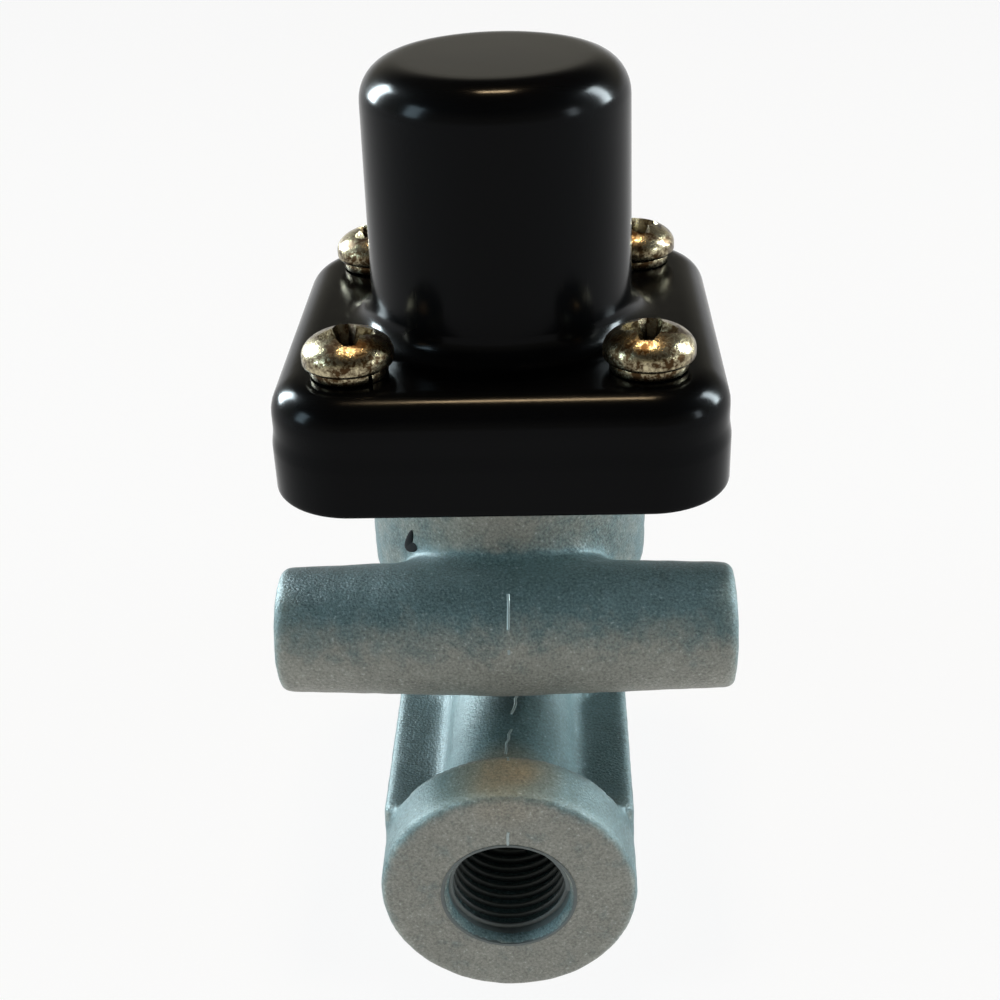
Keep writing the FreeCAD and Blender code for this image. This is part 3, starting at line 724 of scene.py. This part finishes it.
class OBJECT_OT_valve_casting(bpy.types.Operator):
    """Makes the die-cast body with soft inner corners and a grained skin"""

    bl_idname = "object.valve_casting"
    bl_label = "Cast Body"

    def execute(self, context):
        settings = context.scene.valve_casting
        made = remeshed(frame["nodes"]["valve_body"], settings.voxel)
        fill_junction(made.data, settings)
        wear, crease = soften(
            made.data, settings.even_passes, settings.fillet_passes, settings.voxel
        )
        swell(made.data, settings.lump_height, settings.lump_size)
        keep_number(made.data, "wear", wear)
        # The crease share darkens inner corners as painted shade in the material.
        keep_number(made.data, "crease", crease)
        made.data.materials.clear()
        made.data.materials.append(cast_finish(settings))
        shade_smooth(made.data)
        finished(made, HOUSING, "cast_body", "valve_body")
        return {"FINISHED"}


def square_reach(turn, half, corner):
    """Distance from the middle to a rounded square's outline, for each angle of turn."""
    folded = np.abs((turn + math.pi / 4) % (math.pi / 2) - math.pi / 4)
    inner = half - corner
    flat = half / np.cos(folded)
    cosine, sine = np.cos(folded), np.sin(folded)
    under_root = np.maximum(corner**2 - inner**2 * (cosine - sine) ** 2, 0)
    round_part = inner * (cosine + sine) + np.sqrt(under_root)
    return np.where(half * np.tan(folded) <= inner, flat, round_part)


def quarter(steps):
    """Sines and cosines over a quarter turn."""
    return [
        (math.sin(math.pi / 2 * step / steps), math.cos(math.pi / 2 * step / steps))
        for step in range(steps + 1)
    ]


def cover_skin(settings, turn, inset):
    """Rings of radius and height from the dome's pole to the lip, inside the skin by the inset."""
    top = cover_high.z - inset
    plate = COVER_PLATE_TOP - inset
    edge = settings.dome_edge_radius - inset
    top_radius = settings.dome_top_radius - inset
    base_radius = settings.dome_base_radius - inset
    root = settings.dome_root_radius + inset
    half = COVER_HALF_WIDTH - settings.lip_flare - inset
    corner = settings.corner_radius - inset
    bend = settings.edge_radius - inset
    one = np.ones_like(turn)
    rings = []
    for share in (0.02, 0.25, 0.5, 0.75, 0.9):
        rings.append((one * share * (top_radius - edge), top))
    for sine, cosine in quarter(10):
        rings.append((one * (top_radius - edge + edge * sine), top - edge + edge * cosine))
    wall_top, wall_bottom = top - edge, plate + root
    for share in (0.1, 0.25, 0.5, 0.75, 0.9):
        radius = top_radius + (base_radius - top_radius) * share
        rings.append((one * radius, wall_top + (wall_bottom - wall_top) * share))
    for sine, cosine in quarter(10):
        rings.append((one * (base_radius + root - root * cosine), plate + root - root * sine))
    plan = square_reach(turn, half - bend, corner - bend)
    for share in (0.15, 0.35, 0.6, 0.8, 0.93):
        rings.append((one * (base_radius + root) * (1 - share) + plan * share, plate))
    for sine, cosine in quarter(10):
        out = bend * sine
        plan = square_reach(turn, half - bend + out, corner - bend + out)
        rings.append((plan, plate - bend + bend * cosine))
    crease = cover_low.z + settings.crease_height + settings.crease_length / 2
    start = plate - bend
    for share in (0.25, 0.6):
        rings.append((square_reach(turn, half, corner), start + (crease - start) * share))
    for share in (0.0, 0.15, 0.3, 0.5, 0.7, 0.85, 1.0):
        flare = settings.lip_flare * share * share * (3 - 2 * share)
        ring = square_reach(turn, half + flare, corner + flare)
        rings.append((ring, crease - settings.crease_length * share))
    return rings


class OBJECT_OT_valve_cover(bpy.types.Operator):
    """Makes the deep-drawn cover as one closed, evenly curved sheet"""

    bl_idname = "object.valve_cover"
    bl_label = "Spring Cover"

    AROUND = 256
    LIP_ROUND = 0.5 * MM

    def lip(self, turn, settings):
        """Rings that carry the skirt down, round its lip and up to its inner side."""
        half, corner = COVER_HALF_WIDTH, settings.corner_radius + settings.lip_flare
        low, small = cover_low.z, self.LIP_ROUND
        crease = cover_low.z + settings.crease_height - settings.crease_length / 2
        rings = []
        for share in (0.3, 0.6, 0.9):
            height = crease + (low + small - crease) * share
            rings.append((square_reach(turn, half, corner), height))
        for sine, cosine in quarter(4):
            back = small * (1 - cosine)
            plan = square_reach(turn, half - back, corner - back)
            rings.append((plan, low + small * (1 - sine)))
        inner = settings.sheet
        for sine, cosine in quarter(4):
            back = inner - small * (1 - sine)
            plan = square_reach(turn, half - back, corner - back)
            rings.append((plan, low + small * (1 - cosine)))
        return rings

    def execute(self, context):
        settings = context.scene.valve_cover
        turn = np.linspace(0, 2 * math.pi, self.AROUND, endpoint=False)
        outside = cover_skin(settings, turn, 0.0)
        inside = cover_skin(settings, turn, settings.sheet)
        rings = outside + self.lip(turn, settings) + inside[::-1]
        points = []
        for radius, height in rings:
            across, along = radius * np.cos(turn), VALVE_AXIS_Y + radius * np.sin(turn)
            points += list(zip(across, along, np.full_like(turn, height)))
        mesh = mesh_from("spring_cover_mesh", points, ring_faces(len(rings), self.AROUND))
        made = new_object("painted_cover", mesh, paint_finish(settings))
        finished(made, HOUSING, "cover_paint", "spring_cover")
        return {"FINISHED"}


def lathe(name, profile, around=96):
    """A closed mesh turned round Z from a profile of radius and height."""
    turn = np.linspace(0, 2 * math.pi, around, endpoint=False)
    points = []
    for radius, height in profile:
        points += [(radius * math.cos(a), radius * math.sin(a), height) for a in turn]
    return mesh_from(name, points, ring_faces(len(profile), around))


def set_at_corners(made, name, material, height, first_turn, turn_step):
    """Repeats a piece at the cover's four corners, each turned a step further than the last."""
    tree = NodeTree(name, "Spacing", "Height", "Centre", "Turn Start", "Turn Step")
    inputs = {"Size X": "Spacing", "Size Y": "Spacing", "Vertices X": 2, "Vertices Y": 2}
    corners = tree.node("GeometryNodeMeshGrid", None, inputs)
    move = tree.node("ShaderNodeCombineXYZ", None, {"Y": "Centre", "Z": "Height"})
    inputs = {"Geometry": corners, "Translation": move}
    corners = tree.node("GeometryNodeTransform", None, inputs)
    number = tree.node("GeometryNodeInputIndex")
    inputs = {0: number, 1: "Turn Step", 2: "Turn Start"}
    turned = tree.node("ShaderNodeMath", {"operation": "MULTIPLY_ADD"}, inputs)
    spin = tree.node("ShaderNodeCombineXYZ", None, {"Z": turned})
    inputs = {"Points": corners, "Instance": "Geometry", "Rotation": spin}
    set_out = tree.node("GeometryNodeInstanceOnPoints", None, inputs)
    values = {
        "Spacing": 2 * SCREW_HALF_SPACING,
        "Height": height,
        "Centre": VALVE_AXIS_Y,
        "Turn Start": math.radians(first_turn),
        "Turn Step": math.radians(turn_step),
    }
    tree.end(set_out, material).run(made, values)


class OBJECT_OT_valve_screws(bpy.types.Operator):
    """Makes the four pan head screws with their cross recesses"""

    bl_idname = "object.valve_screws"
    bl_label = "Cover Screws"

    # How far the first screw's cross is turned, and each next one's more, in degrees.
    TURNS = (14, 33)
    SHARP_ANGLE = math.radians(38)

    def head_profile(self, settings):
        """Radius and height from the shank's tip to the crown, from the washer's top face up."""
        shank, tip = settings.shank_radius, -settings.shank_length
        reach, rim, height = settings.head_radius, settings.head_rim, settings.head_height
        profile = [(0.6 * shank, tip), (shank, tip + 0.8 * MM)]
        across, up = 0.55 * MM, 0.45 * MM
        profile += [(shank, -0.1 * MM), (shank + 0.1 * MM, 0.0), (reach - across, 0.0)]
        profile += [
            (reach - across + across * sine, up - up * cosine) for sine, cosine in quarter(5)[1:]
        ]
        profile += [(reach, 0.7 * MM), (reach, rim)]
        crown = height - rim
        for sine, cosine in quarter(16)[1:-1]:
            profile.append((reach * cosine, rim + crown * sine))
        profile.append((0.02 * reach, height))
        return profile

    def cross_cutter(self, settings):
        """A tapered cross that cuts the recess."""
        reach, half = settings.recess_reach, settings.recess_width / 2
        outline = []
        for quadrant in range(4):
            corner = Matrix.Rotation(quadrant * math.pi / 2, 2)
            for point in ((reach, -half * 0.8), (reach, half * 0.8), (half * 1.5, half * 1.5)):
                outline.append(corner @ Vector(point))
        above = settings.head_height + 0.5 * MM
        below = settings.head_height - settings.recess_depth
        points = []
        for height, scale in ((above, 1.12), (below, 0.5)):
            points += [(point.x * scale, point.y * scale, height) for point in outline]
        return mesh_from("cross", points, ring_faces(2, len(outline)))

    def recess_shade_share(self, mesh, settings):
        """The share of painted shade: 1 at the bottom of the recess and 0 on the head's skin."""
        points, _ = mesh_arrays(mesh)
        across = np.hypot(points[:, 0], points[:, 1])
        crown = settings.head_height - settings.head_rim
        level = np.sqrt(np.clip(1 - (across / settings.head_radius) ** 2, 0, 1))
        depth = settings.head_rim + crown * level - points[:, 2]
        inside = (across < settings.recess_reach * 1.2) & (points[:, 2] > settings.head_rim)
        return np.clip(depth / (0.25 * MM), 0, 1) * inside

    def execute(self, context):
        settings = context.scene.valve_screw
        material = plating_finish(settings)
        head = new_object("cover_screws", lathe("screw_mesh", self.head_profile(settings)))
        cutter = new_object("cross_cutter", self.cross_cutter(settings))
        recess = head.modifiers.new("Recess", "BOOLEAN")
        recess.object = cutter
        recess.operation = "DIFFERENCE"
        recess.solver = "EXACT"
        applied(head)
        bpy.data.objects.remove(cutter)
        # The recess's depth is kept for the plating's painted shade.
        keep_number(head.data, "deep", self.recess_shade_share(head.data, settings))
        shade_smooth(head.data)
        head.data.set_sharp_from_angle(angle=self.SHARP_ANGLE)
        set_at_corners(head, "Screws at the Corners", material, washer_high.z, *self.TURNS)
        nodes = [f"cover_screw_{number}" for number in range(1, 5)]
        finished(head, HOUSING, "screw_plating", *nodes)
        return {"FINISHED"}


def washer_tree(material):
    """The wire of a split lock washer, which follows a rising arc."""
    tree = NodeTree("Split Lock Washer", "Radius", "Sweep", "Rise", "Wire Width", "Wire Height")
    inputs = {"Resolution": 97, "Radius": "Radius", "Sweep Angle": "Sweep"}
    arc = tree.node("GeometryNodeCurveArc", {"mode": "RADIUS"}, inputs)
    along = tree.node("GeometryNodeSplineParameter", None, None, "Factor")
    lift = tree.node("ShaderNodeMath", {"operation": "MULTIPLY"}, {0: along, 1: "Rise"})
    upward = tree.node("ShaderNodeCombineXYZ", None, {"Z": lift})
    arc = tree.node("GeometryNodeSetPosition", None, {"Geometry": arc, "Offset": upward})
    arc = tree.node("GeometryNodeSetCurveNormal", {"mode": "Z_UP"}, {0: arc})
    inputs = {"Width": "Wire Width", "Height": "Wire Height"}
    section = tree.node("GeometryNodeCurvePrimitiveQuadrilateral", {"mode": "RECTANGLE"}, inputs)
    section = tree.rounded(section, 0.18 * MM, 2)
    return tree.end(tree.swept(arc, section), material)


class OBJECT_OT_valve_washers(bpy.types.Operator):
    """Makes the four split lock washers"""

    bl_idname = "object.valve_washers"
    bl_label = "Lock Washers"

    # How far the first washer's split is turned, and each next one's more, in degrees.
    TURNS = (-48, 80)
    SHARP_ANGLE = math.radians(40)

    def execute(self, context):
        settings = context.scene.valve_screw
        material = plating_finish(settings, "washer_plating")
        made = new_object("lock_washers", bpy.data.meshes.new("washer_mesh"))
        values = {
            "Radius": settings.washer_radius,
            "Sweep": settings.washer_sweep,
            "Rise": settings.washer_rise,
            "Wire Width": settings.washer_width,
            "Wire Height": settings.washer_height,
        }
        washer_tree(material).run(made, values)
        height = COVER_PLATE_TOP + settings.washer_height / 2
        set_at_corners(made, "Washers at the Corners", material, height, *self.TURNS)
        made.data.set_sharp_from_angle(angle=self.SHARP_ANGLE)
        nodes = [f"lock_washer_{number}" for number in range(1, 5)]
        finished(made, HOUSING, "washer_plating", *nodes)
        return {"FINISHED"}


def thread_tree(material):
    """A thread that winds into a bore, for one port."""
    tree = NodeTree(
        "Port Thread", "Turns", "Mouth Radius", "End Radius", "Length", "Pitch", "Depth"
    )
    inputs = {"Resolution": 72, "Rotations": "Turns", "Height": "Length"}
    inputs |= {"Start Radius": "Mouth Radius", "End Radius": "End Radius"}
    path = tree.node("GeometryNodeCurveSpiral", None, inputs)
    path = tree.node("GeometryNodeSetCurveNormal", {"mode": "Z_UP"}, {0: path})
    inputs = {"Width": "Pitch", "Bottom Height": "Depth", "Top Height": 0.1 * MM}
    section = tree.node("GeometryNodeCurvePrimitiveQuadrilateral", {"mode": "KITE"}, inputs)
    section = tree.rounded(section, 0.2 * MM, 3)
    return tree.end(tree.swept(path, section), material)


class OBJECT_OT_valve_threads(bpy.types.Operator):
    """Cuts the mouths and the pipe threads in the two ports"""

    bl_idname = "object.valve_threads"
    bl_label = "Port Threads"

    AROUND = 120
    SHARP_ANGLE = math.radians(40)

    def mouth(self, settings, name, side, material):
        """A machined cone at the port's face, as a thin ring in the casting's own cone."""
        proud, back = -0.04 * MM, settings.mouth_depth + 0.8 * MM
        inner, outer = PORT_BORE_RADIUS - 0.05 * MM, settings.mouth_radius + settings.mouth_wall
        depths = (proud, 0.12 * MM, settings.mouth_depth, back, back, 0.1 * MM, proud)
        radii = (settings.mouth_radius + 0.06 * MM, settings.mouth_radius, inner, inner)
        radii += (inner + 0.3 * MM, outer, outer)
        turn = np.linspace(0, 2 * math.pi, self.AROUND, endpoint=False)
        points = []
        for radius, depth in zip(radii + radii[:1], depths + depths[:1]):
            along = VALVE_AXIS_Y + side * (PORT_FACE_REACH - depth)
            points += [
                (radius * math.cos(a), along, PORT_AXIS_Z + radius * math.sin(a)) for a in turn
            ]
        faces = ring_faces(len(depths) + 1, self.AROUND, closed_ends=False)
        mesh = mesh_from(name, points, faces)
        made = new_object(name, mesh, material)
        mesh.set_sharp_from_angle(angle=self.SHARP_ANGLE)
        finished(made, HOUSING, "cast_body")

    def execute(self, context):
        settings = context.scene.valve_port
        material = plain_finish("cut_metal", settings.cut_metal[:], 0.6, 0.25, 0.04, 2400)
        self.mouth(settings, "supply_mouth", -1, material)
        self.mouth(settings, "delivery_mouth", 1, material)
        tree = thread_tree(material)
        run = PORT_BORE_DEPTH - settings.pitch / 2
        values = {
            "Turns": run / settings.pitch,
            "Mouth Radius": PORT_BORE_RADIUS + 0.05 * MM,
            "End Radius": PORT_BORE_RADIUS + 0.05 * MM - settings.taper,
            "Length": run,
            "Pitch": settings.pitch * 0.98,
            "Depth": settings.thread_depth,
        }
        for name, side in (("supply_thread", -1), ("delivery_thread", 1)):
            made = new_object(name, bpy.data.meshes.new(name))
            tree.run(made, values)
            inward = Matrix.Rotation(side * math.pi / 2, 4, "X")
            start = Vector((0, VALVE_AXIS_Y + side * PORT_BORE_START, PORT_AXIS_Z))
            made.data.transform(Matrix.Translation(start) @ inward)
            finished(made, HOUSING, "cast_body")
        return {"FINISHED"}


def flash_tree(material):
    """A thin ragged rib along a line of points."""
    tree = NodeTree("Parting Line", "Width", whole=("Seed",))
    line = tree.node("GeometryNodeMeshToCurve", None, {0: "Geometry"})
    inputs = {2: 0.25, 3: 1.0, "Seed": "Seed"}
    thick = tree.node("FunctionNodeRandomValue", {"data_type": "FLOAT"}, inputs, 1)
    line = tree.node("GeometryNodeSetCurveRadius", None, {"Curve": line, "Radius": thick})
    half = tree.node("ShaderNodeMath", {"operation": "MULTIPLY"}, {0: "Width", 1: 0.5})
    inputs = {"Resolution": 8, "Radius": half}
    section = tree.node("GeometryNodeCurvePrimitiveCircle", {"mode": "RADIUS"}, inputs)
    return tree.end(tree.swept(line, section), material)


class OBJECT_OT_valve_marks(bpy.types.Operator):
    """Lays the die's parting line and the drops of paint on the casting"""

    bl_idname = "object.valve_marks"
    bl_label = "Flash and Paint Drops"

    # Where the flash runs, from the valve's front: across and up or along, in millimetres.
    BAR_FLASH = ((0.44, 6.75), (0.47, 6.2), (0.45, 5.4), (0.46, 4.5), (0.43, 4.1))
    BAR_SPOTS = ((0.45, 2.1), (0.47, 1.6))
    RIB_FLASH = (
        ((0.95, -0.2), (0.70, -0.9), (0.76, -1.7), (0.66, -2.4), (0.50, -3.0), (0.30, -3.7)),
        ((0.40, -6.4), (0.10, -7.2), (0.14, -8.1), (-0.14, -8.8), (-0.10, -9.8), (-0.16, -10.6)),
        ((0.05, -11.6), (0.12, -12.4), (0.22, -13.2)),
    )
    FACE_FLASH = ((0.20, -12.9), (0.14, -13.4), (0.12, -14.0), (0.10, -14.75))
    # Across, up, width, height and lean of each drop of paint, in millimetres. They are laid on
    # the collar over the bar, along a slope that clears both the cover and the bar.
    DROP_PLANE = 7.2
    DROP_WAY = Vector((0, 0.87, -0.5))
    DROPS = (
        ((-10.95, 7.15), (0.42, 1.3), 0.28),
        ((-10.75, 6.2), (0.64, 0.68), 0.0),
    )

    def on_skin(self, tree, start, way):
        """Where a ray meets the casting, and the skin's direction there."""
        place, normal, _, _ = tree.ray_cast(Vector(start), Vector(way))
        return place, normal

    def flash(self, name, skin, rays, settings, maker, seed):
        """One stretch of flash over the places that the rays meet."""
        line = [self.on_skin(skin, start, way) for start, way in rays]
        sunk = 0.25 * settings.flash_width
        points = [place - sunk * normal for place, normal in line]
        mesh = bpy.data.meshes.new(name)
        mesh.from_pydata(points, [(i, i + 1) for i in range(len(points) - 1)], [])
        made = new_object(name, mesh)
        maker.run(made, {"Width": settings.flash_width, "Seed": seed})
        finished(made, HOUSING, "cast_body")

    def drop(self, name, skin, middle, reach, lean, material):
        """A thin lens of paint that lies on the skin."""
        rings, around = 5, 28
        points, faces = [], []
        for side in (1, -1):
            for ring in range(rings + 1):
                share = max(ring / rings, 0.02)
                for step in range(around):
                    turn = 2 * math.pi * step / around
                    up = reach[1] * share * math.sin(turn)
                    across = reach[0] * share * math.cos(turn) * (1.15 - 0.3 * math.sin(turn))
                    aim = Vector((middle[0] + across + lean * up, self.DROP_PLANE, middle[1] + up))
                    start = aim * MM - 0.04 * self.DROP_WAY
                    place, normal = self.on_skin(skin, start, self.DROP_WAY)
                    swell = 0.07 * MM * (1 - share**2) + 0.02 * MM
                    points.append(place + normal * swell * (1 if side > 0 else -3))
        loops = 2 * (rings + 1)
        order = list(range(rings + 1)) + list(range(loops - 1, rings, -1))
        points = [points[ring * around + step] for ring in order for step in range(around)]
        mesh = mesh_from(name, points, ring_faces(loops, around))
        made = new_object(name, mesh, material)
        finished(made, HOUSING, "cover_paint")

    def execute(self, context):
        settings = context.scene.valve_mark
        body = bpy.data.objects["cast_body"]
        skin = BVHTree.FromObject(body, context.evaluated_depsgraph_get())
        grey = plain_finish("flash_metal", settings.flash_grey[:], 0.4, 0.3, 0.05, 3000)
        maker = flash_tree(grey)
        stretches = [
            [((x * MM, -0.05, z * MM), (0, 1, 0)) for x, z in run]
            for run in (self.BAR_FLASH, self.BAR_SPOTS, self.FACE_FLASH)
        ]
        stretches += [
            [((x * MM, y * MM, -0.0078), (0, 0, -1)) for x, y in run] for run in self.RIB_FLASH
        ]
        for number, rays in enumerate(stretches):
            self.flash(f"flash_{number}", skin, rays, settings, maker, number)
        black = plain_finish("paint_drop", settings.drop[:], 0.6, 0.0, 0.01, 900, 0.1)
        for number, (middle, reach, lean) in enumerate(self.DROPS):
            self.drop(f"paint_drop_{number}", skin, middle, reach, lean, black)
        return {"FINISHED"}


# Slot, colour, roughness and metallic of each inner finish, and the nodes that have it.
INNER_FINISHES = (
    ("gasket_sheet", (0.05, 0.06, 0.055), 0.7, 0.0, ("cover_gasket",)),
    ("seat_brass", (0.62, 0.42, 0.17), 0.28, 1.0, ("valve_seat",)),
    ("seal_rubber", (0.012,) * 3, 0.55, 0.0, ("seat_ring", "piston_seal", "valve_disc")),
    ("piston_metal", (0.52, 0.53, 0.54), 0.30, 1.0, ("piston",)),
    ("guide_plastic", (0.62, 0.60, 0.52), 0.45, 0.0, ("guide_ring",)),
    ("inner_steel", (0.45, 0.45, 0.46), 0.3, 1.0, ("disc_retainer", "disc_screw")),
    ("inner_steel", (0.36, 0.36, 0.37), 0.32, 1.0, ("pressure_spring",)),
    ("inner_steel", (0.45, 0.45, 0.46), 0.3, 1.0, ("upper_spring_seat",)),
    ("inner_steel", (0.45, 0.45, 0.46), 0.3, 1.0, ("preset_shim_1", "preset_shim_2")),
)


class OBJECT_OT_valve_inner(bpy.types.Operator):
    """Gives the inner pieces their brass, rubber, plastic and steel"""

    bl_idname = "object.valve_inner"
    bl_label = "Inner Pieces"

    def execute(self, context):
        made = {}
        for slot, shade, roughness, metallic, names in INNER_FINISHES:
            if (slot, shade) not in made:
                made[slot, shade] = plain_finish(slot, shade, roughness, metallic)
            for name in names:
                node = frame["nodes"][name]
                node.data.materials.clear()
                node.data.materials.append(made[slot, shade])
        return {"FINISHED"}


def camera_turn(pitch, yaw, roll):
    """The camera's rotation from how far it looks down and aside and is tipped."""
    forward = Vector(
        (math.sin(yaw) * math.cos(pitch), math.cos(yaw) * math.cos(pitch), -math.sin(pitch))
    )
    level = Vector((math.cos(yaw), -math.sin(yaw), 0))
    upright = level.cross(forward)
    right = math.cos(roll) * level + math.sin(roll) * upright
    up = math.cos(roll) * upright - math.sin(roll) * level
    return Matrix((right, up, -forward)).transposed()


class OBJECT_OT_valve_stage(bpy.types.Operator):
    """Sets out the floor, the backdrop, the light and the camera"""

    bl_idname = "object.valve_stage"
    bl_label = "Stage"

    # Name, direction round from the front, height angle, distance, width, height, watts, colour,
    # and whether it only shows in gloss or only lights matte skin.
    LAMPS = (
        ("window_left", -124, 22, 0.60, 0.13, 0.30, 13.5, (0.80, 0.94, 1.0), "gloss"),
        ("window_right", 108, 24, 0.60, 0.11, 0.34, 8.0, (0.82, 0.95, 1.0), "gloss"),
        ("glow_left", -72, 24, 0.60, 0.14, 0.24, 1.9, (0.62, 0.85, 1.0), "gloss"),
        ("glow_right", 69, 16, 0.60, 0.08, 0.16, 0.7, (0.80, 0.92, 1.0), "gloss"),
        ("ceiling_glint", 180, 84, 0.60, 0.13, 0.05, 2.4, (1.0, 0.74, 0.44), "gloss"),
        ("ceiling_soft", 180, 78, 0.60, 0.10, 0.10, 1.3, (1.0, 0.78, 0.50), "matte"),
        ("soft_left", -86, 4, 0.70, 0.36, 0.36, 5.9, (0.66, 0.91, 1.0), "matte"),
        ("soft_right", 86, 4, 0.70, 0.36, 0.36, 5.3, (0.68, 0.92, 1.0), "matte"),
        ("soft_front", -6, 1, 0.90, 0.60, 0.06, 0.86, (1.0, 0.97, 0.91), "matte"),
    )

    def floor(self, settings):
        """A wide pale floor that shows nearly white and keeps the object's shadow."""
        half = settings.floor_size / 2
        low = cad_box[0].z
        corners = [(-half, -half, low), (half, -half, low), (half, half, low), (-half, half, low)]
        mesh = bpy.data.meshes.new("floor")
        mesh.from_pydata(corners, [], [(0, 1, 2, 3)])
        finish = Finish(bpy.data.materials.new("pale_floor"))
        matte = finish.node("ShaderNodeBsdfDiffuse", None, {"Color": opaque(settings.pale[:])})
        glow = finish.node("ShaderNodeEmission", None, {"Color": (1, 1, 1, 1), "Strength": 1.0})
        both = finish.node("ShaderNodeMixShader", None, {0: 0.92, 1: matte, 2: glow})
        finish.node("ShaderNodeOutputMaterial", None, {"Surface": both})
        return new_object("floor", mesh, finish.owner)

    def backdrop(self):
        """A dim room whose wall, where it is seen, is white low down and darker higher up."""
        finish = Finish(bpy.data.worlds.new("studio"))
        bpy.context.scene.world = finish.owner
        up = finish.node("ShaderNodeSeparateXYZ", None, {0: finish.object_place()}, "Z")
        wall = finish.mix(finish.ramp(up, (0.0, 0), (0.2, 1)), (1, 1, 1), (0.45, 0.43, 0.36))
        wall = finish.mix(finish.ramp(up, (0.28, 0), (0.6, 1)), wall, (0.05, 0.05, 0.05))
        shade = finish.mix(pale_share(finish), (0.03, 0.038, 0.045), wall)
        room = finish.node("ShaderNodeBackground", None, {"Color": shade, "Strength": 1.0})
        finish.node("ShaderNodeOutputWorld", None, {"Surface": room})

    def lamp(self, name, aside, height, distance, wide, tall, watts, tint, seen_in):
        """A soft area light that looks at the valve."""
        light = bpy.data.lights.new(name, "AREA")
        light.shape = "RECTANGLE"
        light.size, light.size_y = wide, tall
        light.energy, light.color = watts, tint
        made = bpy.data.objects.new(name, light)
        made.visible_diffuse, made.visible_glossy = seen_in == "matte", seen_in == "gloss"
        bpy.context.scene.collection.objects.link(made)
        aside, height = math.radians(aside), math.radians(height)
        out = Vector(
            (
                math.sin(aside) * math.cos(height),
                -math.cos(aside) * math.cos(height),
                math.sin(height),
            )
        )
        made.location = Vector((0, VALVE_AXIS_Y, 0)) + distance * out
        made.rotation_euler = (-out).to_track_quat("-Z", "Y").to_euler()
        return made

    def camera(self, settings):
        """The camera at the photograph's viewing angle."""
        data = bpy.data.cameras.new("camera")
        data.lens = settings.camera_lens / MM
        data.clip_start = 0.005
        made = bpy.data.objects.new("camera", data)
        bpy.context.scene.collection.objects.link(made)
        turn = camera_turn(settings.camera_pitch, settings.camera_yaw, settings.camera_roll)
        made.matrix_world = Matrix.Translation(settings.camera_place) @ turn.to_4x4()
        bpy.context.scene.camera = made

    def execute(self, context):
        settings = context.scene.valve_stage
        context.scene.view_settings.view_transform = "Standard"
        self.floor(settings)
        self.backdrop()
        for row in self.LAMPS:
            self.lamp(*row)
        self.camera(settings)
        return {"FINISHED"}


def pale_share(finish):
    """1 for rays that see the backdrop directly, in a reflection or through glass."""
    share, *others = [
        finish.node("ShaderNodeLightPath", output=name)
        for name in ("Is Camera Ray", "Is Glossy Ray", "Is Transmission Ray")
    ]
    for other in others:
        share = share.math("MAXIMUM", share, other)
    return share


class VIEW3D_PT_valve(bpy.types.Panel):
    """Lists the valve's pieces and their settings in the sidebar"""

    bl_label = "Pressure Protection Valve"
    bl_idname = "VIEW3D_PT_valve"
    bl_space_type = "VIEW_3D"
    bl_region_type = "UI"
    bl_category = "Valve"

    def draw(self, context):
        for group in SETTING_GROUPS:
            box = self.layout.box()
            box.label(text=SETTING_GROUPS[group].__doc__)
            settings = getattr(context.scene, group)
            for name in SETTING_GROUPS[group].__annotations__:
                box.prop(settings, name)
        for operator in OPERATORS:
            self.layout.operator(operator.bl_idname)


SETTING_GROUPS = {
    "valve_casting": ValveCastingSettings,
    "valve_cover": ValveCoverSettings,
    "valve_screw": ValveScrewSettings,
    "valve_port": ValvePortSettings,
    "valve_mark": ValveMarkSettings,
    "valve_stage": ValveStageSettings,
}
OPERATORS = (
    OBJECT_OT_valve_casting,
    OBJECT_OT_valve_cover,
    OBJECT_OT_valve_screws,
    OBJECT_OT_valve_washers,
    OBJECT_OT_valve_threads,
    OBJECT_OT_valve_marks,
    OBJECT_OT_valve_inner,
    OBJECT_OT_valve_stage,
)
CLASSES = (*SETTING_GROUPS.values(), *OPERATORS, VIEW3D_PT_valve)


def register():
    for kind in CLASSES:
        bpy.utils.register_class(kind)
    for name, kind in SETTING_GROUPS.items():
        setattr(bpy.types.Scene, name, bpy.props.PointerProperty(type=kind))


def unregister():
    for name in SETTING_GROUPS:
        delattr(bpy.types.Scene, name)
    for kind in reversed(CLASSES):
        bpy.utils.unregister_class(kind)


def main():
    register()
    bpy.ops.object.valve_casting()
    bpy.ops.object.valve_cover()
    bpy.ops.object.valve_screws()
    bpy.ops.object.valve_washers()
    bpy.ops.object.valve_threads()
    bpy.ops.object.valve_marks()
    bpy.ops.object.valve_inner()
    bpy.ops.object.valve_stage()


if __name__ == "__main__":
    main()
